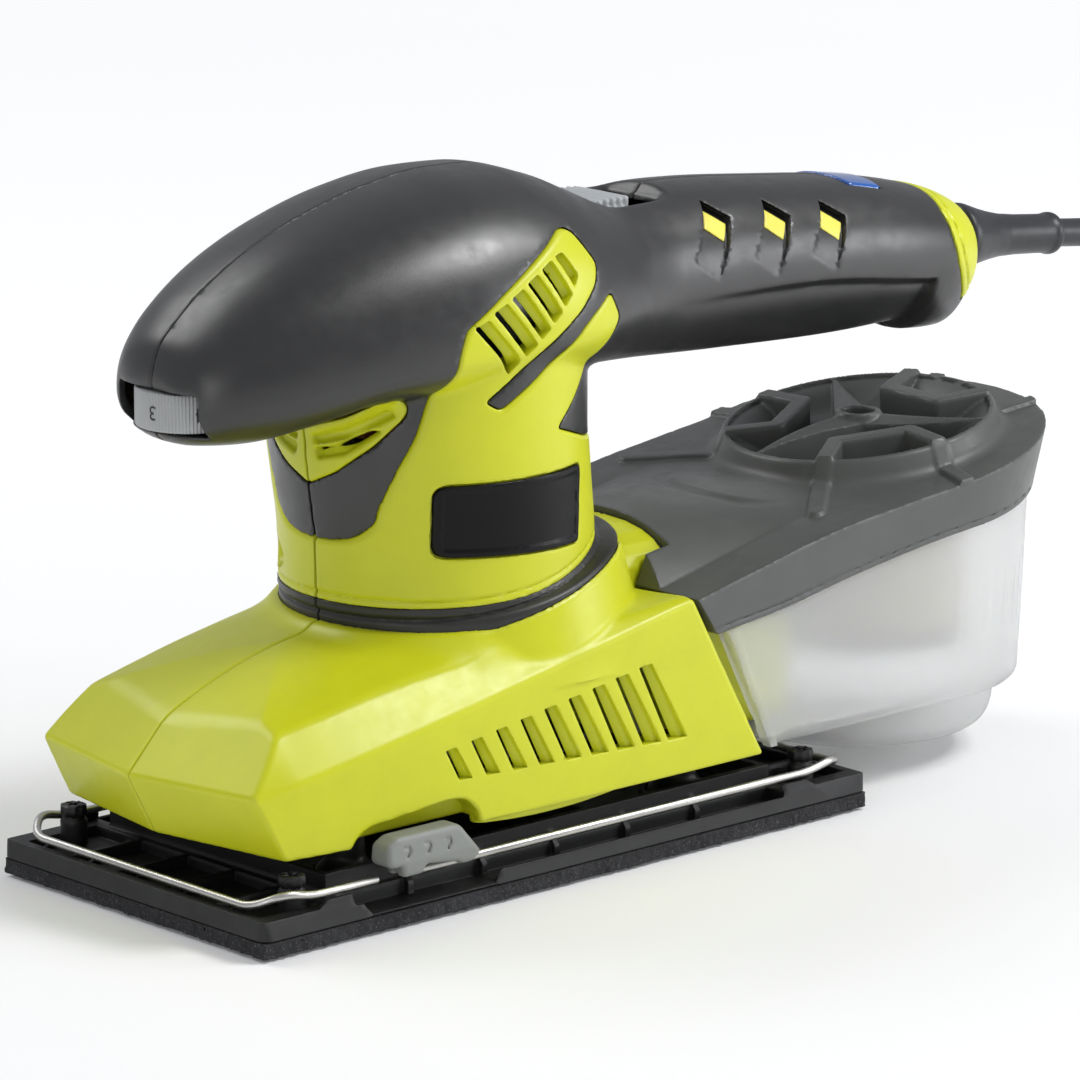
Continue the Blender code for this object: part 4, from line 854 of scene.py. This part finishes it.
def speed_dial():
    corners, ridges = [], 96
    levels = [
        (-0.9, 110), (-0.25, 110), (0, 110.35), (0, 113), (0, 115.6), (0, 118.15), (-0.25, 118.5),
        (-0.9, 118.5)]
    ring = ridges * 4
    for k in range(ring):
        a = 2 * math.pi * k / ring
        dip = 0.24 * (1 if k % 4 in (1, 2) else 0)
        for inset, z in [(-9.2, 110)] + levels + [(-9.2, 118.5)]:
            r = 12.5 + inset - (dip if -0.5 < inset else 0)
            corners.append((DIAL[0] + r * math.cos(a), r * math.sin(a), z))
    object_from("speed_dial_drum", corners, ring_quads(ring, len(levels) + 2, True), DRUM, "dial",
                ("speed_dial",), "white_plastic")
    corners, faces = [], []
    for number in range(1, 7):
        more, shapes = digit(str(number), (number - 3) * 52 + 8, 114.3, 4.6)
        faces += [[i + len(corners) for i in f] for f in shapes]
        corners += more
    listed_object("dial_numerals", corners, faces, PRINT, "dial")


speed_dial()


def switch_slider(x, y, z):
    crown = 147 - 0.015 * (x - 45) ** 2
    skin = box_field(x, y, z, (36.2, -9.1, 141.6), (50.4, 9.1, 149.3), 1.4)
    skin = blend_max(skin, z - crown, 0.6)
    ridge = 0.42 * (0.5 + 0.5 * np.cos((x - 37.6) * 2 * np.pi / 2.1))
    skin = skin + ridge * ease(z - 144.3) * ease((50 - x) / 0.8) * ease((x - 37) / 0.8)
    stem = box_field(x, y, z, (40, -2.5, 137.8), (46, 2.5, 143), 0.4)
    return least(skin, stem)


object_from("switch_slider_cap", *sculpt(switch_slider, (36, -11, 137), (51, 11, 150), 0.35), SLIDER,
            "switch", ("switch_slider",), "white_plastic")


def tube(name, path, radius, material, body, stands_for, slot, sides, ends=0.6):
    """A round bar along a smooth path; ends is how round its ends are, from 0 to 1."""
    def dome(point, way, r, sign, turns):
        return [(point + way * (sign * ends * math.sin(a) * r * 0.6), way,
                 r * (1 - ends + ends * math.cos(a))) for a in turns]

    points = [Vector(p) for p in path]
    corners = []
    side = (points[1] - points[0]).cross(Vector((0, 0, 1)))
    if side.length < 1e-4:
        side = Vector((0, 1, 0))
    side.normalize()
    stations = []
    total = len(points) - 1
    for i, point in enumerate(points):
        ahead = points[min(i + 1, total)] - points[max(i - 1, 0)]
        stations.append((point, ahead.normalized(), radius))
    turns = (0.6, 1.1, 1.5)
    for point, way, r in dome(*stations[0], -1, turns)[::-1] + stations + dome(*stations[-1], 1, turns):
        side = (side - way * side.dot(way)).normalized()
        up = way.cross(side)
        for k in range(sides):
            a = 2 * math.pi * k / sides
            corners.append(tuple(point + (side * math.cos(a) + up * math.sin(a)) * r))
    quads = ring_quads(len(stations) + 2 * len(turns), sides, False)
    return listed_object(name, corners, quads, material, body, stands_for, slot, 50)


def bent(path, steps):
    """A dense Catmull-Rom path through the points."""
    points = [Vector(p) for p in path]
    points = [points[0] * 2 - points[1]] + points + [points[-1] * 2 - points[-2]]
    result = []
    for a, b, c, d in zip(points, points[1:], points[2:], points[3:]):
        for k in range(steps):
            t = k / steps
            result.append(b + (c - a) * 0.5 * (t - 2 * t**2 + t**3) + (c - b) * (3 * t**2 - 2 * t**3)
                          + (d - b) * 0.5 * (t**3 - t**2))
    result.append(points[-2])
    return result


def filleted(path, radius, steps):
    """The open path with its corners rounded."""
    points = [Vector(p) for p in path]
    result = [points[0]]
    for before, corner, after in zip(points, points[1:], points[2:]):
        result += corner_curve(before, corner, after, radius, steps)
    return result + [points[-1]]


def cord():
    start, end = Vector((164, 0, 121.3)), Vector((205, 0, 117.2))
    way = end - start
    length = way.length
    stem = round_corners([
        (3.85, -5), (4.9, -5), (4.9, 1.9), (7.6, 2), (8.3, 2.6), (8.3, 4.4), (7.8, 6.2), (6.9, 9.5),
        (6, 13.5), (5.3, 18), (4.95, 24), (4.85, 32), (4.9, 34.5), (5.25, 35.6), (5.25, 37), (4.6, 37.6),
        (3.85, 37.6)], 0.5, 2)
    turned_object("cord_guard_rubber", stem, 72, CABLE, "housing", ("cord_guard",), "black_moulding",
                  origin=tuple(start), way=tuple(way / length))
    path = [start - way * 0.3, start, start + way * 0.5, end, (236, 0, 113.4), (262, 0, 108)]
    tube("power_cord_cable", bent(path, 12), 3.5, CABLE, "housing", ("power_cord",), "black_moulding",
         28, ends=0.2)


cord()


# ---- dust box ----
lid_rim = smooth_curve([
    (30, 56.4), (39, 58.4), (53.3, 61.7), (68.7, 65.3), (84.2, 68.5), (105.3, 71.3), (126.7, 73.8),
    (140.8, 76.3), (180, 83.6)])
lid_skirt = smooth_curve([
    (30, 46.6), (46.4, 49.3), (67.8, 52.1), (89.7, 56.1), (116.2, 60), (137.9, 62.3), (180, 68.4)])
lid_crown = smooth_curve([
    (30, 70.8), (51, 71.6), (64, 72.4), (80, 72.5), (93, 71.6), (104, 71.2), (120, 72.4), (140.8, 75.4),
    (180, 82.6)])
DRUM_FRAMES = (-4, 116, 236)       # azimuths of the raised frames; a gusset lies between each two


def drum_level(x):
    return 81 + 0.15 * (x - TUBE[0])


def box_plan(x, y, front, radius):
    """Distance outside the plan outline of the dust box: straight sides, then round the rear."""
    straight = np.abs(y) - front - (radius - front) * np.clip((x - 40) / (BOWL_X - 40), 0, 1)
    return np.where(x < BOWL_X, straight, np.hypot(x - BOWL_X, y) - radius)


def lid_deck(x, y):
    """Level of the lid's top without the drum: a flat rim strip and a low arch between."""
    share = least(np.abs(y) / 30.5, 1)
    rim, crown = lid_rim(x), lid_crown(x)
    groove = np.abs(np.hypot(x - 99, y + 3) - 24) - 1
    fade = ease((21 - np.abs(y + 2)) / 9) * ease((100 - x) / 6)
    return rim + (crown - rim) * (1 - share**2.2) - 0.8 * ease(1 - groove / 1.8) * fade


def polar(radius, azimuth):
    a = math.radians(azimuth)
    return TUBE[0] + radius * math.cos(a), radius * math.sin(a)


def drum_works(surface, x, y, z, radial, outside):
    """The drum's surface with its frames, gussets and tube added."""
    top = drum_level(x)
    for middle in DRUM_FRAMES:
        left, right = middle + 25, middle - 25
        path = [polar(56, left - 4), polar(36, left), polar(19.8, left + 2),
                polar(19.8, right - 2), polar(36, right), polar(56, right + 4)]
        above = z - np.where(radial < 32, top, outside) - 1.1
        strip = blend_max(line_field(x, y, path) - 2.1, above * 0.9, 0.8)
        surface = blend_min(surface, strip, 0.8)
        a = math.radians(middle + 60)
        run = (x - TUBE[0]) * math.cos(a) + y * math.sin(a)
        lateral = np.abs(y * math.cos(a) - (x - TUBE[0]) * math.sin(a))
        share = np.clip(run / 32, 0, 1)
        ridge = 82.3 * (1 - share) + top * share
        web = most((lateral - 5.2 * (1 - share) - 0.25) * 0.98, z - ridge + lateral * 0.4)
        surface = blend_min(surface, most(web, -run, run - 31.5), 0.5)
    post = blend_max(radial - 5.7, z - 82.5, 0.7)
    return blend_min(surface, most(post, 66 - z), 1)


def dust_lid(x, y, z):
    rim, skirt = lid_rim(x), lid_skirt(x)
    t = (z - skirt) / (rim - skirt)
    walls = box_plan(x, y, 43 + 0.6 * t, 43.6 + 3 * t)
    front = most((46.6 - x) * 0.816 + (49.3 - z) * 0.579, (40 - x) * 0.9 + (z - 58.4) * 0.43)
    radial = np.hypot(x - TUBE[0], y)
    top = drum_level(x)
    flank = (radial - 32.9 - (top - z) * 0.42) * 0.92
    drum = blend_max(flank, (z - top) * 0.989, 0.9)
    deck = lid_deck(x, y)
    surface = blend_min((z - deck) * 0.97, drum, 2.4)
    basin = top - 5.6 - 1.4 * ease((26 - radial) / 18) + 4.6 * ease((radial - 22) / 10)
    bowl = most(radial - 31.6, (basin - z) * 0.9)
    surface = cut(surface, bowl, 0.7)
    outside = most(deck, top - most(radial - 32.4, 0) * 1.9)
    surface = drum_works(surface, x, y, z, radial, outside)
    skin = most(blend_max(walls, surface, 0.8), blend_max(front, (skirt - z) * 0.99, 0.6))
    step = most(np.abs(z - skirt - 1.4) - 0.3, -(walls + 0.3))
    notch = most(x - 50.6, np.abs(y) - 22)
    skin = cut(cut(skin, notch, 0.6), step, 0.3)
    inner = most(box_plan(x, y, 40, 41), 53.5 - x)
    ceiling = least(deck, np.where(radial < 34, basin, 200)) - 2.6
    skin = most(skin, -most(inner, z - ceiling))
    return cut(skin, radial - 4.2, 0.5)


object_from("dust_lid_moulding", *sculpt(dust_lid, (39, -48, 48), (181, 48, 90), 0.65), LID, "box_lid",
            ("dust_lid",), "lid_grey")


bowl_edge = smooth_curve([
    (5, 25), (5.6, 26.5), (6.4, 30), (7.8, 32.2), (10, 33.6), (13, 34.4), (24, 35.2)])


def bin_upper(x, y, z, inset):
    rim = lid_skirt(x) - 0.4
    t = np.clip((z - 18.4) / (rim - 18.4), -0.5, 1.6)
    size = 40.4 + 2 * t - inset
    sides = box_plan(x, y, size, size)
    ahead = (66 - inset - x - (z - 18.4) * 0.505) * 0.893
    return most(sides, ahead)


def bin_bowl(x, y, z, inset):
    radial = np.hypot(x - BOWL_X, y)
    return most((radial - bowl_edge(z - inset) + inset) * 0.9, 5.6 + inset - z, z - 24)


def dust_bin(x, y, z):
    around = np.arctan2(y, x - BOWL_X) * 41
    flute = 0.16 * np.cos(around * 2 * np.pi / 4.1) * ease((x - 118) / 10) * ease((z - 30) / 6)
    flute = flute * ease((52 - z) / 8)
    upper = blend_max(bin_upper(x, y, z, 0) + flute * 0.8, 18.4 - z, 2.6)
    outer = blend_min(upper, bin_bowl(x, y, z, 0), 1.2)
    cavity = least(blend_max(bin_upper(x, y, z, 2), 20.4 - z, 2), bin_bowl(x, y, z, 2))
    skin = most(outer, (z - lid_skirt(x) + 0.4) * 0.98, -cavity)
    skin = most(skin, -most(np.abs(y) - 38.4, (x - 62 - (80 - z) * 0.168) * 0.985, 20.4 - z))
    edge = most(np.abs((66 - x - (z - 18.4) * 0.505) * 0.893 + 1.3) - 1.1, 38 - np.abs(y))
    edge = most(edge, box_plan(x, y, 42.9, 42.9), 18.4 - z, z - lid_skirt(x) + 0.5)
    return least(skin, most(edge, bin_upper(x, y, z, -0.3)))


object_from("dust_bin_moulding", *sculpt(dust_bin, (48, -44, 5), (177, 44, 69), 0.8), FROST, "dust_box",
            ("dust_bin",), "bin_clear")


def pleated_filter():
    pleats, steps, corners = 46, 2, []
    count = pleats * 2 * steps
    for z, out in (29.5, 0), (32, 0.25), (44, 0), (56.5, 0.25), (58.5, 0):
        for k in range(count):
            a = 2 * math.pi * k / count
            wave = abs(((k / steps) % 2) - 1)
            r = 21.4 + 4.2 * wave + out
            corners.append((TUBE[0] + r * math.cos(a), r * math.sin(a), z))
    listed_object("filter_pleats", corners, ring_quads(5, count, False), PAPER, "box_lid", ("dust_filter",),
                  "filter_paper", 20)
    for name, low in (("filter_lower_band", 28), ("filter_upper_band", 57.6)):
        band = round_corners([(15, low), (26, low), (26, low + 2.3), (15, low + 2.3)], 0.5, 3)
        turned_object(name, band, 72, BLACK, "box_lid", (), None, origin=(TUBE[0], 0, 0))


pleated_filter()


# ---- platen ----
def lattice(i, j, k):
    """A repeatable value in 0..1 for each whole-number point."""
    mixed = (i * 73856093) ^ (j * 19349663) ^ (k * 83492791)
    mixed = (mixed ^ (mixed >> 13)) * 1274126177
    return ((mixed & 0xFFFF) / 65535).astype(np.float32)


def bumps(x, y, z, size):
    """Smooth value noise in -1..1."""
    px, py, pz = x / size, y / size, z / size
    i, j, k = np.floor(px).astype(np.int64), np.floor(py).astype(np.int64), np.floor(pz).astype(np.int64)
    fx, fy, fz = ease(px - i), ease(py - j), ease(pz - k)
    value = 0
    for a in (0, 1):
        for b in (0, 1):
            for c in (0, 1):
                weight = (fx if a else 1 - fx) * (fy if b else 1 - fy) * (fz if c else 1 - fz)
                value = value + lattice(i + a, j + b, k + c) * weight
    return value * 2 - 1


def platen_base(x, y, z):
    a, b = np.abs(x), np.abs(y)
    slab = most(a - PLATEN[0] + 0.10 * (z - 4.3), b - PLATEN[1] + 0.22 * (z - 4.3), z - 8.6)
    corner = (a - PLATEN[0] + b - PLATEN[1] + 1.6) * 0.7071
    skin = blend_max(blend_max(slab, corner, 0.6), 4.3 - z, 0.4)
    ledge = most(np.abs(b - 45 + 0.12 * (z - 9)) - 0.55, z - 10.3, 6 - z)
    skin = blend_min(skin, most(ledge, a - 76 + (z - 8.6) * 1.5), 0.4)
    floor, trough = 6.2, 5.2
    well = most(a - 64, b - 34, floor - z)
    run = most(a - 66, np.abs(b - 42.1) - 3.1, trough - z)
    skin = cut(cut(skin, well, 0.6), run, 0.6)
    own = -x * np.sign(y)
    gate = most(np.abs(own + 43) - 19 - (z - 6) * 0.9, 39 - b)
    gate = most(gate, trough - z)
    skin = cut(skin, gate, 0.9)
    for k in range(5):
        middle = -33.5 + 16.6 * k
        cup = most(np.abs(a - 79.8) - 9.8 + 0.12 * (8.6 - z), np.abs(y - middle) - 7.5 + 0.12 * (8.6 - z))
        skin = cut(skin, most(cup, floor - z), 0.7)
    brace = np.abs((y + 50) % 16.6 - 8.3 + (a - 79) * 0.45)
    brace = most(brace - 0.55, np.abs(a - 79.8) - 9.9, np.abs(z - 6.6) - 0.9)
    skin = least(skin, most(brace, b - 41))
    frame_wall = most(a - 68, b - 38, z - 13.4, 6 - z)
    inside = most(a - 66, b - 36)
    skin = blend_min(skin, cut(frame_wall, inside, 0.5), 0.8)
    stays = most(np.abs((x + 100) % 22 - 11) - 0.8, np.abs(b - 38.8) - 1.6)
    stays = most(stays, a - 62, z - 11 - (38 - b) * 1.4, 5 - z)
    skin = blend_min(skin, stays, 0.4)
    post = np.hypot(a - POST[0], b - POST[1])
    turn = np.arctan2(b - POST[1], a - POST[0])
    flutes = 0.28 * (0.5 + 0.5 * np.cos(turn * 10)) * (z > 12.9)
    waist = 3.1 - 0.55 * ease(1 - np.abs(z - 12.7) / 0.9) - flutes
    knob = most(blend_max(post - waist, z - 15.6, 0.8), 5 - z)
    cross = most(least(np.abs(a - POST[0]), np.abs(b - POST[1])) - 0.42, post - 1.9, 14.7 - z)
    skin = least(skin, cut(knob, cross, 0.3))
    radial = np.hypot(x - ORBIT, y)
    hub = most(blend_max(radial - 14.5, z - 20.6, 1.2), 5 - z)
    spoke = np.arctan2(y, x - ORBIT)
    ribs = most(np.abs(np.sin(spoke * 4)) * radial / 4 - 0.9, radial - 33, z - 17 + radial * 0.28)
    skin = blend_min(skin, most(blend_min(hub, ribs, 0.8), 5 - z), 0.8)
    skin = most(skin, -most(radial - 11.4, 12.9 - z))
    skin = most(skin, -(radial - 8))
    for leg in (-LEG[0], LEG[0]):
        seat = np.hypot(x - leg, b - LEG[1])
        skin = blend_min(skin, most(np.abs(seat - 8.4) - 0.8, z - 8.4, 5 - z), 0.4)
        skin = most(skin, -most(seat - 7.3, 6.35 - z))
    return skin


object_from("platen_moulding", *sculpt(platen_base, (-93, -47, 4), (93, 47, 21), 0.75), BLACK, "platen",
            ("platen_base",), "black_moulding")


def foam_pad(x, y, z):
    skin = box_field(x, y, z, (-92.4, -46.4, 0.05), (92.4, 46.4, 4), 0.5)
    side = least(92.4 - np.abs(x), 46.4 - np.abs(y))
    rough = 0.22 * bumps(x, y, z, 1.25) + 0.12 * bumps(x + 40, y, z, 0.7)
    return skin + (rough + 0.3) * ease((3.95 - z) / 0.6) * ease(1.5 - side)


object_from("foam_pad_cellular", *sculpt(foam_pad, (-93, -47, 0), (93, 47, 4.2), 0.6), FOAM, "platen",
            ("foam_pad",), "foam")


def legs():
    profile = round_corners([
        (0.05, 6.6), (7, 6.6), (7, 8.9), (4.7, 11.4), (4.4, 12.2), (4.4, 30.4), (0.05, 30.4)], 0.6, 3)
    for end, x in (("front", -LEG[0]), ("rear", LEG[0])):
        for side, y in (("left", -LEG[1]), ("right", LEG[1])):
            name = f"support_leg_{end}_{side}"
            turned_object(name + "_rubber", profile, 40, RING, "platen", (name,), "ring_rubber",
                          origin=(x, y, 0))


legs()


# ---- paper clamps ----
WIRE_Y, WIRE_Z = 43.6, 11.5
WIRE = [(-50, -WIRE_Y, WIRE_Z), (76, -WIRE_Y, WIRE_Z), (84, -WIRE_Y, 13.2), (89.4, -38, 10.2),
        (89.4, 38, 10.2), (84, WIRE_Y, 13.2), (76, WIRE_Y, WIRE_Z), (58, WIRE_Y, WIRE_Z)]
lever_zone = zone(round_corners([
    (-57.4, 15), (-55.8, 14), (-53.2, 14.2), (-52.6, 11.4), (-47, 11.4), (-46, 13.4), (-36.6, 12.2),
    (-35.6, 11.4), (-32, 11.4), (-29.8, 13.4), (-35.6, 20.4), (-37, 20.9), (-54.4, 20.9),
    (-57.3, 19.2)], 1))
TICKS = [[(x - 0.5, z + 1), (x + 0.7, z + 0.9), (x + 1, z + 0.2), (x + 0.1, z - 1.2)]
         for x, z in ((-52, 17.4), (-46, 17.4), (-40, 17.3))]


def clamp_lever(x, y, z):
    middle = -44
    skin = blend_max(lever_zone(x, z), np.abs(y - middle) - 3.5 + 0.1 * np.abs(z - 15), 1.4)
    for tick in TICKS:
        mark = most(line_field(x, z, tick) - 0.32, y + 46.9)
        skin = cut(skin, mark, 0.2)
    groove = np.hypot(y + WIRE_Y, z - WIRE_Z) - 1.35
    return most(skin, -most(groove, -54.5 - x))


def paper_clamps():
    corner, faces = sculpt(clamp_lever, (-58, -48, 11), (-28, -40, 22), 0.42)
    path = filleted(WIRE, 3.6, 9)
    twin = [(-p[0], -p[1], p[2]) for p in path]
    object_from("rear_clamp_grip", corner, faces, LEVER, "rear_clamp", ("rear_clamp_lever",), "lever_grey")
    object_from("front_clamp_grip", corner * np.array([-1, -1, 1]), faces, LEVER, "front_clamp",
                ("front_clamp_lever",), "lever_grey")
    tube("rear_clamp_wire_steel", path, 0.95, STEEL, "rear_clamp", ("rear_clamp_wire",), "steel", 24)
    tube("front_clamp_wire_steel", twin, 0.95, STEEL, "front_clamp", ("front_clamp_wire",), "steel", 24)


paper_clamps()


# ---- works inside ----
INNER_LOOKS = (
    (LAMINATION, "armature_core field_core"),
    (COPPER, "armature_winding commutator field_coil_front field_coil_rear"),
    (CARBON, "left_carbon_brush right_carbon_brush"),
    (BLACK, "bearing_bracket fan left_brush_holder right_brush_holder speed_controller switch_body"),
    (MACHINED, "dome_screw handle_screw neck_screw_front neck_screw_rear nose_screw platen_screw"),
    (MACHINED, "eccentric_counterweight platen_washer rotor_shaft"),
    (MACHINED, "lower_bearing platen_bearing upper_bearing"))


def inner_works():
    """The machined and wound pieces keep their CAD shapes, with eased edges."""
    for material, names in INNER_LOOKS:
        for node in (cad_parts[name] for name in names.split()):
            node.data.materials.clear()
            node.data.materials.append(material)
            easing = node.modifiers.new("eased_edges", "BEVEL")
            easing.width = 0.15 * MM
            easing.segments = 2
            easing.limit_method = "ANGLE"
            easing.angle_limit = math.radians(35)


inner_works()


# ---- surroundings ----
CAMERA_AZIMUTH, CAMERA_ELEVATION = -42.2519, 13.3970     # degrees
CAMERA_DISTANCE = 1.488714                               # metres from the object's middle
CAMERA_ASIDE, CAMERA_BELOW = 0.0225149, 0.0033329        # metres, right and down in the view
SENSOR_WIDTH, FOCAL_LENGTH = 36.0, 216.66667             # millimetres
LIGHT_TARGET = (0.02, 0.0, 0.08)
LIGHTS = (          # name, place, size, watts, colour
    ("key", (0.62, -0.62, 1.15), 0.45, 11.5, (1.0, 1.0, 1.0)),
    ("side", (1.15, -0.95, 0.40), 0.55, 6.4, (0.97, 0.98, 1.0)),
    ("front_fill", (-1.15, -0.45, 0.35), 0.5, 1.5, (1.0, 1.0, 1.0)),
    ("back", (-0.25, 0.8, 1.0), 0.6, 4.5, (1.0, 1.0, 1.0)))


def area_light(name, place, size, power, colour):
    data = bpy.data.lights.new(name, "AREA")
    data.energy = power
    data.size = size
    data.color = colour
    light = added(name, data)
    light.location = place
    light.rotation_mode = "QUATERNION"
    light.rotation_quaternion = (Vector(LIGHT_TARGET) - Vector(place)).to_track_quat("-Z", "Y")


def studio_floor():
    """A pale floor that glows a little more with distance, so that it fades into the backdrop."""
    floor_mesh = bpy.data.meshes.new("studio_floor")
    shape = bmesh.new()
    bmesh.ops.create_grid(shape, x_segments=1, y_segments=1, size=4.0)
    shape.to_mesh(floor_mesh)
    shape.free()
    floor = added("studio_floor", floor_mesh)
    floor.location.z = -0.4 * MM
    paint = bpy.data.materials.new("studio_floor")
    paint.use_nodes = True
    surface = paint.node_tree.nodes["Principled BSDF"]
    give(surface, {"Base Color": (0.86, 0.86, 0.86, 1.0), "Roughness": 0.65,
                   "Emission Color": (1.0, 1.0, 1.0, 1.0)})
    node, link = paint.node_tree.nodes.new, paint.node_tree.links.new
    reach = node("ShaderNodeVectorMath")
    reach.operation = "LENGTH"
    link(node("ShaderNodeTexCoord").outputs["Object"], reach.inputs[0])
    glow = node("ShaderNodeMapRange")
    give(glow, {"From Min": 0.2, "From Max": 1.3, "To Min": 0.06, "To Max": 0.40})
    link(reach.outputs["Value"], glow.inputs["Value"])
    link(glow.outputs["Result"], surface.inputs["Emission Strength"])
    floor_mesh.materials.append(paint)


def surroundings():
    world = bpy.data.worlds.new("studio")
    bpy.context.scene.world = world
    world.use_nodes = True
    give(world.node_tree.nodes["Background"], {"Color": (0.93, 0.95, 1.0, 1.0), "Strength": 0.46})

    for light in LIGHTS:
        area_light(*light)

    azimuth, elevation = math.radians(CAMERA_AZIMUTH), math.radians(CAMERA_ELEVATION)
    back = Vector((math.sin(azimuth) * math.cos(elevation), -math.cos(azimuth) * math.cos(elevation),
                   math.sin(elevation)))
    right = Vector((math.cos(azimuth), math.sin(azimuth), 0.0))
    up = back.cross(right)
    camera = added("camera", bpy.data.cameras.new("camera"))
    camera.location = (Vector((0, 0, 0.075)) + back * CAMERA_DISTANCE + right * CAMERA_ASIDE
                       - up * CAMERA_BELOW)
    camera.rotation_mode = "QUATERNION"
    camera.rotation_quaternion = (-back).to_track_quat("-Z", "Y")
    camera.data.sensor_width = SENSOR_WIDTH
    camera.data.lens = FOCAL_LENGTH
    camera.data.clip_start, camera.data.clip_end = 0.05, 20.0
    bpy.context.scene.camera = camera
    bpy.context.scene.view_settings.view_transform = "Standard"


studio_floor()
surroundings()
